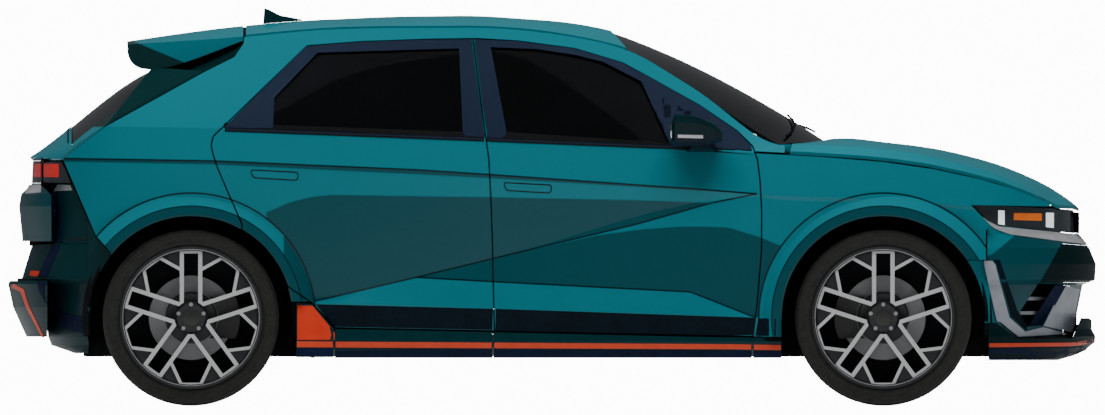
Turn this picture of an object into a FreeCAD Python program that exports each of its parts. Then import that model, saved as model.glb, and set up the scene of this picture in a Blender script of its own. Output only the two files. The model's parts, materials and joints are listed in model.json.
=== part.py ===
import FreeCAD, Part
import math
import os

# Five-door performance hatchback on battery power, millimetres.
# +X is the car's front, +Z is up, and -Y is the car's right side.
# The ground is Z 0, and the origin is under the middle of the car.
# Side-view outlines are lists of (X, Z) points, and plan outlines are lists of (X, Y) points.

Vector = FreeCAD.Vector
AXIS_X = Vector(1, 0, 0)
AXIS_Y = Vector(0, 1, 0)
AXIS_Z = Vector(0, 0, 1)

# Wheels and their places
REAR_AXLE_X = -1567
FRONT_AXLE_X = 1434
AXLE_Z = 383
TYRE_RADIUS = 383
TYRE_WIDTH = 255
RIM_RADIUS = 309
TRACK_HALF = 822

# Body widths, measured from the middle plane
HALF_WIDTH = 940
FLARE_HALF_WIDTH = 968
SKIN = 14
DOOR_DEPTH = 92
FRAME_DEPTH = 44
SHUT_GAP = 6

# Arches in the body side
ARCH_RADIUS = 440
FLARE_EDGE_RADIUS = 484
FLARE_RADIUS = 540

# Side-view lines of the body, rear to front
SILL_LINE = [(-2140, 352), (-943, 339), (-257, 325), (770, 303), (2160, 290)]
SILL_CREASE = [(-2140, 425), (-1300, 430), (-965, 445), (-242, 423), (770, 389), (995, 378), (2160, 345)]
LOWER_CREASE = [(-2140, 440), (-1300, 445), (-965, 460), (-592, 548), (-257, 535), (596, 494),
                (770, 427), (878, 392), (1100, 388), (2160, 360)]
DIAGONAL_CREASE = [(-2140, 455), (-1300, 460), (-965, 475), (-592, 560), (-257, 641), (881, 905),
                   (1000, 893), (1434, 880), (1800, 850), (2160, 800)]
SHOULDER_CREASE = [(-2140, 1073), (-1528, 1066), (-1141, 1054), (-965, 1040), (-576, 1025),
                   (-271, 1003), (639, 939), (881, 917), (1434, 895), (1800, 865), (2160, 815)]
BELT_LINE = [(-2140, 1215), (-1431, 1203), (-965, 1184), (-320, 1158), (516, 1123), (757, 1105),
             (869, 1100), (1325, 1072), (1558, 1046), (1787, 1003), (2016, 939), (2160, 880)]
CANT_LINE = [(-2140, 1500), (-1493, 1584), (-1342, 1600), (-986, 1631), (-754, 1639), (-320, 1640),
             (-161, 1632), (68, 1603), (321, 1544), (409, 1500), (639, 1359), (982, 1132),
             (1100, 1120), (1325, 1100), (1787, 1035), (2160, 910)]
CANT_WIDTH = [(-2140, 560), (-1700, 620), (-1335, 655), (-700, 690), (-200, 695), (321, 668),
              (639, 715), (982, 800), (1100, 850), (1500, 800), (2160, 600)]
TOP_LINE = [(-1335, 1649), (-1043, 1673), (-834, 1682), (-574, 1691), (-314, 1691), (-106, 1678),
            (50, 1665), (206, 1639), (325, 1604)]
NOSE_LINE = [(200, 2330), (560, 2356), (860, 2285), (1200, 2250)]
TAIL_LINE = [(200, -2300), (530, -2360), (920, -2312), (1060, -2290), (1300, -2250)]
STATIONS = [-2140, -2000, -1850, -1600, -1300, -1043, -900, -750, -592, -430, -257, 0, 300, 500,
            640, 770, 881, 1000, 1200, 1434, 1650, 1850, 2000, 2160]


def slope_between(a, b):
    return (b[1] - a[1]) / (b[0] - a[0])


def along(line, x):
    """Height of a smooth line through the points of a list, at x."""
    if x <= line[0][0]:
        return line[0][1]
    if x >= line[-1][0]:
        return line[-1][1]
    i = 0
    while line[i + 1][0] < x:
        i += 1
    here = slope_between(line[i], line[i + 1])
    before = slope_between(line[i - 1], line[i]) if i > 0 else here
    after = slope_between(line[i + 1], line[i + 2]) if i + 2 < len(line) else here
    start = 0 if before * here <= 0 else 2 * before * here / (before + here)
    end = 0 if after * here <= 0 else 2 * after * here / (after + here)
    span = line[i + 1][0] - line[i][0]
    t = (x - line[i][0]) / span
    h00 = (1 + 2 * t) * (1 - t) ** 2
    h10 = t * (1 - t) ** 2
    h01 = t * t * (3 - 2 * t)
    h11 = t * t * (t - 1)
    return h00 * line[i][1] + h10 * span * start + h01 * line[i + 1][1] + h11 * span * end


# How the plan narrows to the nose and the tail
NOSE_START = 700
NOSE_POWER = 5
TAIL_START = -500
TAIL_POWER = 8
CORNER_ROOT = 2.6


def plan_share(x, z):
    """Share of the full half width that is left at x and z."""
    nose = along(NOSE_LINE, z)
    tail = along(TAIL_LINE, z)
    if x > NOSE_START:
        u = ((x - NOSE_START) / (nose - NOSE_START)) ** NOSE_POWER
    elif x < TAIL_START:
        u = ((TAIL_START - x) / (TAIL_START - tail)) ** TAIL_POWER
    else:
        u = 0
    return max(0.0, 1 - u) ** (1 / CORNER_ROOT)


def smooth_curve(points):
    count = len(points)
    curve = Part.BSplineCurve()
    curve.interpolate(Points=points, Parameters=[i / (count - 1) for i in range(count)])
    return curve


def strip(first, last, bulge=None):
    """Face between two smooth rows of points; bulge is the middle row's offset as a vector list."""
    a = smooth_curve(first)
    b = smooth_curve(last)
    poles = [a.getPoles(), b.getPoles()]
    degree = 1
    if bulge:
        middle = smooth_curve([(p + q) * 0.5 + d * 2 for p, q, d in zip(first, last, bulge)])
        poles = [a.getPoles(), middle.getPoles(), b.getPoles()]
        degree = 2
    surface = Part.BSplineSurface()
    surface.buildFromPolesMultsKnots([list(r) for r in zip(*poles)], a.getMultiplicities(),
                                     [degree + 1, degree + 1], a.getKnots(), [0.0, 1.0],
                                     False, False, a.Degree, degree)
    return surface.toShape()


def sewn(faces):
    shell = Part.makeShell(faces)
    shell.sewShape(0.02)
    solid = Part.Solid(shell)
    if solid.Volume < 0:
        solid.reverse()
    return solid


def end_face(outer, inner, index, bulges):
    """Flat face that closes a slab at one end."""
    edges = []
    for k in range(len(outer) - 1):
        for rows, sign in ((outer, 1), (inner, 1)):
            a = rows[k][index]
            b = rows[k + 1][index]
            if bulges[k]:
                middle = (a + b) * 0.5 + bulges[k][index] * 2
                edges.append(Part.BezierCurve())
                edges[-1].setPoles([a, middle, b])
                edges[-1] = edges[-1].toShape()
            else:
                edges.append(Part.makeLine(a, b))
    edges.append(Part.makeLine(outer[0][index], inner[0][index]))
    edges.append(Part.makeLine(outer[-1][index], inner[-1][index]))
    return Part.Face(Part.Wire(Part.__sortEdges__(edges)))


def slab(outer, inner, bulges=None):
    """Solid between two sets of rows that run the same way."""
    bulges = bulges or [None] * (len(outer) - 1)
    faces = []
    for k in range(len(outer) - 1):
        faces.append(strip(outer[k], outer[k + 1], bulges[k]))
        faces.append(strip(inner[k], inner[k + 1], bulges[k]))
    faces.append(strip(outer[0], inner[0]))
    faces.append(strip(outer[-1], inner[-1]))
    faces.append(end_face(outer, inner, 0, bulges))
    faces.append(end_face(outer, inner, -1, bulges))
    return sewn(faces)


def box(x0, x1, y0, y1, z0, z1):
    return Part.makeBox(x1 - x0, y1 - y0, z1 - z0, Vector(x0, y0, z0))


def side_prism(points, y0=-1100, y1=-400):
    """Solid with a side-view outline."""
    wire = Part.makePolygon([Vector(x, y0, z) for x, z in points + points[:1]])
    return Part.Face(wire).extrude(Vector(0, y1 - y0, 0))


def plan_prism(points, z0, z1):
    wire = Part.makePolygon([Vector(x, y, z0) for x, y in points + points[:1]])
    return Part.Face(wire).extrude(Vector(0, 0, z1 - z0))


def front_prism(points, x0, x1):
    """Solid with an outline given as (Y, Z) points."""
    wire = Part.makePolygon([Vector(x0, y, z) for y, z in points + points[:1]])
    return Part.Face(wire).extrude(Vector(x1 - x0, 0, 0))


def cylinder_y(x, z, radius, y0, y1):
    return Part.makeCylinder(radius, y1 - y0, Vector(x, y0, z), AXIS_Y)


def rod(a, b, radius):
    a = Vector(*a)
    b = Vector(*b)
    return Part.makeCylinder(radius, (b - a).Length, a, b - a)


def mirrored(shape):
    return shape.mirror(Vector(0, 0, 0), AXIS_Y)


def fused(shapes):
    return shapes[0].fuse(shapes[1:]) if len(shapes) > 1 else shapes[0]


def turned(profile, x, z):
    """Ring from a profile of (radius, Y) points, turned about a wheel's axis."""
    wire = Part.makePolygon([Vector(x, y, z + r) for r, y in profile + profile[:1]])
    return Part.Face(wire).revolve(Vector(x, 0, z), AXIS_Y, 360)


def grown(points, amount):
    """Closed outline moved outwards by an amount, or inwards by a negative one."""
    area = sum(a[0] * b[1] - b[0] * a[1] for a, b in zip(points, points[1:] + points[:1]))
    side = 1 if area > 0 else -1
    result = []
    count = len(points)
    for i in range(count):
        a, b, c = points[i - 1], points[i], points[(i + 1) % count]
        n1 = unit_normal(a, b)
        n2 = unit_normal(b, c)
        mx, mz = n1[0] + n2[0], n1[1] + n2[1]
        scale = 2 / max(0.35, mx * mx + mz * mz)
        result.append((b[0] + side * amount * mx * scale, b[1] + side * amount * mz * scale))
    return result


def unit_normal(a, b):
    dx, dz = b[0] - a[0], b[1] - a[1]
    length = math.hypot(dx, dz)
    return dz / length, -dx / length


# Rows of the right body side
ROW_LINES = [(SILL_LINE, 24), (SILL_CREASE, 0), (LOWER_CREASE, 13), (DIAGONAL_CREASE, 30),
             (SHOULDER_CREASE, 4), (BELT_LINE, 38)]
CREASE_JOIN_X = -592


def side_rows(depth):
    """Rows of points along the right side, from the sill up to the cant rail, depth mm in."""
    rows = []
    for number, (line, inset) in enumerate(ROW_LINES):
        row = []
        for x in STATIONS:
            z = along(line, x)
            here = inset
            if number == 2:
                here = inset + 15 * min(1, max(0, (-x - 430) / 160))
            if number == 3:
                here = inset - 22 * min(1, max(0, (x + 257) / 1138))
            row.append(Vector(x, -((HALF_WIDTH - here) * plan_share(x, z) - depth), z))
        rows.append(row)
    rows.append([Vector(x, -(along(CANT_WIDTH, x) - depth), along(CANT_LINE, x)) for x in STATIONS])
    return rows


GLASS_BULGE = [Vector(0, -11 * max(0, min(1, (1100 - x) / 500)), 0) for x in STATIONS]
SIDE_BULGES = [None] * 5 + [GLASS_BULGE]


def side_slab(near, far):
    return slab(side_rows(near), side_rows(far), SIDE_BULGES)


# Outlines in side view
DOOR_TOP = [(-1064, 1561), (-832, 1579), (-522, 1590), (-320, 1592), (-152, 1582), (97, 1549),
            (304, 1487), (428, 1420), (636, 1304), (801, 1192), (868, 1126)]
CENTRE_SHUT = [(-345, 1592), (-305, 1278), (-276, 1072), (-267, 900), (-261, 727), (-257, 533),
               (-254, 423), (-252, 325)]
FRONT_SHUT = [(868, 1126), (889, 1066), (900, 974), (907, 842), (906, 670), (887, 442), (869, 301)]
REAR_SHUT = [(-1064, 1561), (-1428, 1210), (-1470, 1170), (-1480, 1131), (-1470, 1085),
             (-1450, 1027), (-1345, 785)]
FLAG_EDGE = [(-1043, 447), (-943, 339)]
TAILGATE_SIDE = [(-1335, 1660), (-1335, 1627), (-1342, 1573), (-1381, 1515), (-1511, 1450),
                 (-1936, 1215), (-2126, 1072)]
QUARTER_TAIL = [(-2126, 1072), (-1982, 738), (-1917, 665)]
REAR_GLASS = [(-1021, 1538), (-1211, 1340), (-1219, 1317), (-1219, 1213), (-382, 1182), (-398, 1557)]
FRONT_GLASS = [(-277, 1562), (-69, 1553), (97, 1528), (221, 1497), (387, 1412), (627, 1275),
               (516, 1131), (-205, 1180)]


def arc_points(x, z, radius, start, end, count):
    """Points on an arc in side view; angles in degrees from +X towards +Z."""
    return [(x + radius * math.cos(math.radians(start + (end - start) * i / (count - 1))),
             z + radius * math.sin(math.radians(start + (end - start) * i / (count - 1))))
            for i in range(count)]


def split_top(points, x0, x1):
    return [p for p in points if x0 < p[0] < x1]


FRONT_DOOR = ([(-345, 1592)] + split_top(DOOR_TOP, -340, 860) + FRONT_SHUT + CENTRE_SHUT[:0:-1])
REAR_DOOR = ([(-1064, 1561)] + split_top(DOOR_TOP, -1060, -400) + CENTRE_SHUT
             + FLAG_EDGE[::-1] + arc_points(REAR_AXLE_X, AXLE_Z, ARCH_RADIUS, 18, 60, 8)
             + REAR_SHUT[:0:-1])


def arch_cutter(x, radius, leg):
    """Opening over a wheel: a round top with straight legs."""
    cutter = cylinder_y(x, AXLE_Z, radius, -1100, -300)
    return cutter.fuse(box(x - leg, x + leg, -1100, -300, 0, AXLE_Z))


FLARE_PROFILE = [(ARCH_RADIUS, -FLARE_HALF_WIDTH + 90), (ARCH_RADIUS, -FLARE_HALF_WIDTH + 8),
                 (ARCH_RADIUS + 8, -FLARE_HALF_WIDTH), (FLARE_EDGE_RADIUS, -FLARE_HALF_WIDTH + 4),
                 (FLARE_RADIUS, -HALF_WIDTH + 30), (FLARE_RADIUS, -FLARE_HALF_WIDTH + 90)]


def flare(x):
    """Raised lip around one arch of the right side."""
    ring = turned(FLARE_PROFILE, x, AXLE_Z)
    return ring.common(box(x - 600, x + 600, -1000, -700, AXLE_Z, 1200))


def flare_leg(x, direction, bottom):
    """Straight part of the lip below the wheel's centre."""
    outline = [(x + direction * r, y) for r, y in FLARE_PROFILE]
    return plan_prism(outline, bottom, AXLE_Z)


parts = {}


def add(name, shapes):
    """Collects the solids of one named piece."""
    solids = []
    for shape in shapes if isinstance(shapes, list) else [shapes]:
        solids += [s for s in shape.Solids if s.Volume > 1]
    parts[name] = solids


def both_sides(name, shapes):
    """Adds a right piece and its mirror image as the left one."""
    shapes = shapes if isinstance(shapes, list) else [shapes]
    add(name + "_right", shapes)
    add(name + "_left", [mirrored(s) for s in shapes])


def with_mirror(shapes):
    return shapes + [mirrored(s) for s in shapes]


SEAT_GAP = 0.3
LINING_OUT = 858
LINING_RADIUS = 448
LINING_CLEAR = LINING_RADIUS + 8
skin = side_slab(0, SKIN)


def body_half_width(x, z):
    """Half width of the body above the shoulder, at x and z."""
    belt = along(BELT_LINE, x)
    shoulder = along(SHOULDER_CREASE, x)
    cant = along(CANT_LINE, x)
    belt_width = (HALF_WIDTH - 38) * plan_share(x, belt)
    if z < belt:
        share = (z - shoulder) / (belt - shoulder)
        return (HALF_WIDTH - 4) * plan_share(x, shoulder) * (1 - share) + belt_width * share
    share = (z - belt) / (cant - belt)
    return belt_width * (1 - share) + along(CANT_WIDTH, x) * share + 44 * share * (1 - share)


# Doors: a thin outer skin, with a thick inner part set back from its edges
INNER_SET_BACK = 24
FLAG_TOP = 447
lower_inner = slab(side_rows(SKIN - 6)[:6], side_rows(DOOR_DEPTH)[:6])
upper_inner = slab(side_rows(SKIN - 6)[5:], side_rows(FRAME_DEPTH)[5:], [GLASS_BULGE])
pane = slab(side_rows(SKIN - 4)[5:], side_rows(SKIN + 1)[5:], [GLASS_BULGE])
front_flare = flare(FRONT_AXLE_X).fuse(flare_leg(FRONT_AXLE_X, -1, 300))
rear_flare = flare(REAR_AXLE_X).cut(box(REAR_AXLE_X, 0, -1000, -700, 0, FLAG_TOP + SHUT_GAP))
rear_opening = arch_cutter(REAR_AXLE_X, ARCH_RADIUS, ARCH_RADIUS)
front_opening = arch_cutter(FRONT_AXLE_X, ARCH_RADIUS, ARCH_RADIUS)


def door(outline, glass_outline, extra=None):
    outer = side_prism(grown(outline, -SHUT_GAP / 2))
    inner = side_prism(grown(outline, -INNER_SET_BACK))
    window = side_prism(glass_outline)
    panel = skin.common(outer)
    if extra:
        panel = panel.fuse(extra.common(outer))
    return panel.fuse([lower_inner.common(inner), upper_inner.common(inner)]).cut(window)


front_door = door(FRONT_DOOR, FRONT_GLASS)
rear_door = door(REAR_DOOR, REAR_GLASS, rear_flare).cut(rear_opening)
both_sides("door_front", front_door)
both_sides("door_rear", rear_door)
both_sides("glass_door_front", pane.common(side_prism(grown(FRONT_GLASS, -SEAT_GAP))))
both_sides("glass_door_rear", pane.common(side_prism(grown(REAR_GLASS, -SEAT_GAP))))

# Mirrors on the front doors
MIRROR_SECTIONS = [
    (517, [(-925, 1166), (-930, 1206), (-975, 1228), (-1060, 1226), (-1078, 1205), (-1072, 1160),
           (-1050, 1146), (-970, 1148)]),
    (530, [(-905, 1146), (-910, 1240), (-960, 1266), (-1075, 1262), (-1100, 1232), (-1094, 1142),
           (-1060, 1124), (-960, 1126)]),
    (620, [(-905, 1146), (-910, 1236), (-960, 1260), (-1070, 1256), (-1092, 1228), (-1086, 1144),
           (-1056, 1126), (-960, 1128)]),
    (700, [(-925, 1150), (-930, 1206), (-970, 1228), (-1045, 1222), (-1060, 1204), (-1056, 1152),
           (-1035, 1138), (-968, 1140)]),
    (736, [(-950, 1156), (-952, 1180), (-975, 1192), (-1020, 1188), (-1030, 1178), (-1028, 1156),
           (-1012, 1148), (-972, 1150)])]
mirror_head = Part.makeLoft([Part.makePolygon([Vector(x, y, z) for y, z in points + points[:1]])
                             for x, points in MIRROR_SECTIONS], True, True)
mirror_arm = Part.makeLoft([
    Part.makePolygon([Vector(x, y, z) for x, z in points + points[:1]]) for y, points in (
        (-850, [(560, 1085), (740, 1085), (720, 1116), (600, 1120)]),
        (-960, [(600, 1118), (690, 1118), (690, 1150), (600, 1150)]))], True, True)
both_sides("mirror", mirror_head.fuse(mirror_arm).cut(front_door))

# Quarter panels, pillars and cant rails
WING_REAR_TOP = [(868 + SHUT_GAP, 1126), (1000, 1126), (1000, 1700)]
ABOVE_WING = [(x, along(BELT_LINE, x) + 2) for x in (1010, 960, 900, 872)]
quarter_outline = ([(-1335, 1700)] + TAILGATE_SIDE[1:-1] + QUARTER_TAIL
                   + [(-1917, 200), (-900, 200), (-900, 1195), (860, 1108)] + ABOVE_WING[::-1]
                   + [(1010, 1160), (321, 1620), (300, 1700)])
doors_cut = side_prism(grown(FRONT_DOOR, SHUT_GAP / 2)).fuse(side_prism(grown(REAR_DOOR, SHUT_GAP / 2)))
quarter = skin.fuse(rear_flare).common(side_prism(grown(quarter_outline, -3)))
quarter = quarter.cut([doors_cut, rear_opening, box(REAR_AXLE_X, -900, -1100, 0, 0, FLAG_TOP + SHUT_GAP)])

# Inner edges of the body around the door openings, seen through the shut lines
JAMB_OUT = 794
JAMB_THICK = 12
REAR_JAMB = [(-1310, 850), (-1400, 850), (-1520, 1100), (-1520, 1160), (-1410, 1250), (-1360, 1225)]
rear_jamb = side_prism(REAR_JAMB, -JAMB_OUT, JAMB_THICK - JAMB_OUT)
rear_jamb = rear_jamb.fuse(box(-1520, -1508, -918, -JAMB_OUT, 900, 1090))
LIP_ZONE = [(-1500, 1200), (-1425, 1200), (-1060, 1552), (-1040, 1640), (-1240, 1640), (-1500, 1400)]
web = slab(side_rows(SKIN - 4)[5:], side_rows(FRAME_DEPTH + 16)[5:], [GLASS_BULGE])
web = web.common(side_prism(grown(REAR_DOOR, 28))).cut(side_prism(grown(REAR_DOOR, 14)))
lip = slab(side_rows(FRAME_DEPTH + 8)[5:], side_rows(FRAME_DEPTH + 16)[5:], [GLASS_BULGE])
lip = lip.common(side_prism(grown(REAR_DOOR, 28))).cut(side_prism(grown(REAR_DOOR, -18)))
quarter = quarter.fuse([rear_jamb, fused([web, lip]).common(side_prism(LIP_ZONE))])

# Inner door frames: sill, centre pillar, hinge pillar and rear pillar behind the doors
PILLAR_OUT = -(HALF_WIDTH - DOOR_DEPTH - 52)
pillar_low = Part.makeLoft([Part.makePolygon([Vector(x, y, z) for x, y in (
    (x0, PILLAR_OUT + shift), (x1, PILLAR_OUT + shift), (x1, PILLAR_OUT + 50 + shift),
    (x0, PILLAR_OUT + 50 + shift), (x0, PILLAR_OUT + shift))]) for z, x0, x1, shift in (
        (420.3, -330, -180, 0), (1130, -350, -240, 10), (1596, -390, -300, 180))], True, True)
rail_row = side_rows(FRAME_DEPTH + 8)[6][4:16]
RAIL_SECTION = [[(0, -66), (0, -SKIN - 22)], [(38, -66), (38, -SKIN - 22)]]
cant_rail = slab(*[[[p + Vector(0, dy, dz) for p in rail_row] for dy, dz in pair] for pair in RAIL_SECTION])
both_sides("body_side", [quarter])
both_sides("pillar", [pillar_low.fuse(cant_rail)])

# Front wings
wing_outline = ([(869, 296)] + FRONT_SHUT[::-1] + [(880, 1120), (1000, 1200), (2160, 1000), (2160, 862),
                (1821, 868), (1902, 785), (1882, 760), (1882, 640), (1960, 296)])
BELOW_BONNET = ([(x, along(BELT_LINE, x) - 4) for x in [860] + [x for x in STATIONS if x > 870]]
                + [(2200, 200), (860, 200)])
wing = skin.fuse(front_flare).common(side_prism(grown(wing_outline, -3))).common(side_prism(BELOW_BONNET))
wing = wing.cut([front_opening, box(FRONT_AXLE_X, 2200, -1100, 0, 0, AXLE_Z + 250),
                 cylinder_y(FRONT_AXLE_X, AXLE_Z, LINING_CLEAR, -LINING_OUT, 0)])
both_sides("front_wing", wing)

# Roof and windscreen
ROOF_STATIONS = [-1329, -1200, -1043, -900, -700, -500, -314, -106, 50, 206, 318]


def curved_slab(shape_at, near, far):
    """Slab with two curved faces; shape_at gives a right row, a left row and the crown at a depth."""
    a, b, c = shape_at(near)
    a2, b2, c2 = shape_at(far)
    faces = [strip(a, b, c), strip(a2, b2, c2), strip(a, a2), strip(b, b2)]
    for i in (0, -1):
        arcs = []
        for r, l, m in ((a, b, c), (a2, b2, c2)):
            arc = Part.BSplineCurve()
            arc.buildFromPolesMultsKnots([r[i], (r[i] + l[i]) * 0.5 + m[i] * 2, l[i]],
                                         [3, 3], [0.0, 1.0], False, 2)
            arcs.append(arc)
        faces.append(Part.makeRuledSurface(arcs[0].toShape(), arcs[1].toShape()))
    return sewn(faces)


def from_middle(side, middle):
    """Right row, left row and crown from a right row and the row in the middle plane."""
    other = [Vector(p.x, -p.y, p.z) for p in side]
    return side, other, [m - (p + q) * 0.5 for m, p, q in zip(middle, side, other)]


def roof_shape(depth):
    side = [Vector(x, -(along(CANT_WIDTH, x) - SKIN - 5), along(CANT_LINE, x) + 8 - depth)
            for x in ROOF_STATIONS]
    return from_middle(side, [Vector(x, 0, along(TOP_LINE, x) - depth) for x in ROOF_STATIONS])



SCREEN_SIDE = [(330, 1546), (409, 1500), (639, 1359), (820, 1240), (982, 1140)]
SCREEN_MIDDLE = [(262, 1622), (362, 1588), (600, 1486), (890, 1334), (1180, 1156)]


def screen_shape(depth):
    side = [Vector(x - 0.5 * depth, -(along(CANT_WIDTH, x) - SKIN - 2), z - depth) for x, z in SCREEN_SIDE]
    return from_middle(side, [Vector(x - 0.5 * depth, 0, z - depth) for x, z in SCREEN_MIDDLE])


SCREEN_DEPTH = 6
SCREEN_THICK = 6
add("windscreen", curved_slab(screen_shape, SCREEN_DEPTH, SCREEN_DEPTH + SCREEN_THICK))
SCREEN_EDGE_HALF = 650
screen_edge = []
for i in range(-6, 7):
    y = SCREEN_EDGE_HALF * 1.1 * i / 6
    rise = (SCREEN_SIDE[0][0] - SCREEN_MIDDLE[0][0]) * (y / SCREEN_EDGE_HALF) ** 2
    screen_edge.append((SCREEN_MIDDLE[0][0] - SHUT_GAP - 3 + rise, y))
ahead_of_roof = plan_prism(screen_edge + [(500, SCREEN_EDGE_HALF * 1.1), (500, -SCREEN_EDGE_HALF * 1.1)], 1400, 1800)
add("roof", curved_slab(roof_shape, 0, 30).cut(ahead_of_roof))


def screen_point(y, share, depth):
    """Point on the windscreen at a share of its length up from the base, depth mm in."""
    side, other, bulge = screen_shape(depth)
    place = (1 - share) * (len(side) - 1)
    i = min(int(place), len(side) - 2)
    part = place - i
    edge = side[i] * (1 - part) + side[i + 1] * part
    rise = bulge[i] * (1 - part) + bulge[i + 1] * part
    across = y / edge.y
    return Vector(edge.x, y, edge.z) + Vector(rise.x, 0, rise.z) * (1 - across * across)

# Bonnet, with a crease along each side
BONNET_STATIONS = [980, 1040, 1120, 1272, 1402, 1558, 1715, 1871, 1975, 2079, 2160, 2235, 2290]
BONNET_TOP = [(980, 1140), (1120, 1152), (1205, 1155), (1272, 1161), (1402, 1149), (1558, 1131), (1715, 1105),
              (1871, 1066), (1975, 1032), (2079, 988), (2160, 946), (2235, 897), (2282, 856), (2290, 848)]
BONNET_CREASE = [(980, 1124), (1098, 1121), (1443, 1100), (1672, 1060), (1902, 997), (2074, 925),
                 (2131, 893), (2290, 790)]
BONNET_EDGE_SPAN = 90


def edge_width(x):
    return (HALF_WIDTH - 38) * plan_share(min(x, 2160), along(BELT_LINE, x))


def bonnet_edge_height(x):
    return along(BELT_LINE, x) if x <= 2160 else along(BONNET_CREASE, x) - 10


def bonnet_rows(depth):
    edge = [Vector(x, -edge_width(x), bonnet_edge_height(x) - depth) for x in BONNET_STATIONS]
    crease = [Vector(x, -(edge_width(x) - BONNET_EDGE_SPAN), along(BONNET_CREASE, x) + 14 - depth)
              for x in BONNET_STATIONS]
    flipped = [[Vector(p.x, -p.y, p.z) for p in row] for row in (crease, edge)]
    return [edge, crease] + flipped


crown = [Vector(0, 0, along(BONNET_TOP, x) - along(BONNET_CREASE, x) - 14) for x in BONNET_STATIONS]
bonnet_body = slab(bonnet_rows(0), bonnet_rows(15), [None, crown, None])
NOSE_TIP_X = 2282
BONNET_SET_IN = SKIN + SHUT_GAP + 6
bonnet_outline = [(1212, 0), (1196, -220), (1162, -400), (1090, -620), (1048, -760),
                  (1030, -(edge_width(1030) - BONNET_SET_IN))]
bonnet_outline += [(x, -(edge_width(x) - BONNET_SET_IN)) for x in (1120, 1272, 1402, 1558, 1715, 1871, 2000, 2090)]
bonnet_outline += [(2135, -578), (2190, -486), (2236, -350), (2268, -180), (NOSE_TIP_X, 0)]
bonnet_outline += [(x, -y) for x, y in bonnet_outline[-2:0:-1]]
bonnet = bonnet_body.common(plan_prism(bonnet_outline, 600, 1300))


def ring_points(z, tip, start, inset=0):
    """Plan curve around one end of the car at one height, from the right side to the left."""
    points = []
    front = tip > 0
    begin = NOSE_START if front else TAIL_START
    power = NOSE_POWER if front else TAIL_POWER
    length = abs(tip - begin) - inset
    width = HALF_WIDTH - 8 - inset
    first = math.acos(min(1.0, (abs(start - begin) / length) ** (power / 2)))
    for i in range(13):
        angle = first * (1 - i / 6)
        u = math.cos(angle) ** (2 / power)
        v = abs(math.sin(angle)) ** (2 / CORNER_ROOT)
        x = begin + (1 if front else -1) * length * u
        points.append(Vector(x, -width * v if angle > 0 else width * v, z))
    return points


def end_slab(levels, start, depth, proud=0):
    """Bumper-like slab around one end; levels are (height, tip X, inset)."""
    outer = [ring_points(z, tip, start, inset - proud) for z, tip, inset in levels]
    inner = [ring_points(z, tip, start, inset + depth) for z, tip, inset in levels]
    return slab(outer, inner)


# Front bumper with its lamps, dark mask, blades and splitter
FRONT_LEVELS = [(288, 2290, 20), (403, 2288, 14), (525, 2306, 8), (546, 2352, 0), (616, 2356, 0),
                (685, 2334, 6), (746, 2290, 20), (834, 2284, 24)]
BUMPER_DEPTH = 36
bumper = end_slab(FRONT_LEVELS, 1885, BUMPER_DEPTH)
LAMP_SIDE = [(1707, 877), (1821, 868), (1902, 785), (2320, 740), (2320, 846), (2200, 857)]
MASK_SIDE = [(2206, 704), (2400, 690), (2400, 536), (2113, 535)]
BLADE_SIDE = [(1867, 630), (1907, 630), (1920, 612), (1981, 384), (2049, 323), (2128, 342), (2238, 313),
              (2020, 300), (1944, 362), (1926, 368)]
FRONT_BLADE = [(2216, 526), (2288, 505), (2275, 402), (2256, 318), (2128, 347)]
DUCT_SIDE = [(2106, 531), (2206, 526), (2120, 349), (2049, 344), (2025, 408)]
SPLITTER_TOP = [(1700, 360), (1925, 360), (2010, 293), (2252, 293), (2290, 382), (2450, 382),
                (2450, 150), (1700, 150)]
lamp_zone = side_prism(LAMP_SIDE, -1100, 1100)
mask_zone = side_prism(MASK_SIDE, -1100, 1100)
blade_zones = [side_prism(BLADE_SIDE, -1100, -300), side_prism(FRONT_BLADE, -1100, -300)]
duct_zone = side_prism(DUCT_SIDE, -1100, -300)
bumper = bumper.cut([lamp_zone, side_prism(SPLITTER_TOP, -1100, 1100)] + with_mirror([duct_zone] + blade_zones))
front_well = cylinder_y(FRONT_AXLE_X, AXLE_Z, LINING_CLEAR, -LINING_OUT, LINING_OUT)
LEG_SIDE = [(1780, 630), (1896, 630), (1896, 361), (1780, 361)]
leg = skin.common(side_prism(LEG_SIDE)).cut([front_opening, front_well, blade_zones[0]])
bumper_plain = bumper.cut([mask_zone, front_well])
add("front_bumper", fused([bumper_plain] + with_mirror([leg])))
mask = end_slab(FRONT_LEVELS, 1885, BUMPER_DEPTH).common(side_prism(grown(MASK_SIDE, -SEAT_GAP), -1100, 1100))
add("front_mask", mask)
blades = []
proud_body = end_slab(FRONT_LEVELS, 1870, BUMPER_DEPTH, 8)
for outline in (BLADE_SIDE, FRONT_BLADE):
    blades.append(proud_body.common(side_prism(grown(outline, -SEAT_GAP), -1100, -300)))
slats = end_slab([(288, 2250, 20), (540, 2262, 20)], 1885, 24)
duct_slats = []
for z0, z1 in ((396, 411), (458, 473)):
    zone = side_prism(grown(DUCT_SIDE, -SEAT_GAP), -1100, -490).common(box(1900, 2300, -1100, -490, z0, z1))
    duct_slats.append(slats.common(zone))
add("bumper_blades", with_mirror(blades + duct_slats))
lamp_body = end_slab([(700, 2288, 22), (900, 2282, 26)], 1700, 34)
LAMP_INNER_Y = 470
under_bonnet = slab(bonnet_rows(-2), bonnet_rows(15 + SHUT_GAP), [None, crown, None])
lamp_body = lamp_body.cut(under_bonnet.common(plan_prism(grown(bonnet_outline, SHUT_GAP), 600, 1300)))
lamp_shape = side_prism(grown(LAMP_SIDE, -2), -1100, 1100)
lamp = lamp_body.common(lamp_shape)
side_lamp = lamp.common(box(1600, 2400, -1100, -LAMP_INNER_Y, 600, 1000))
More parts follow.
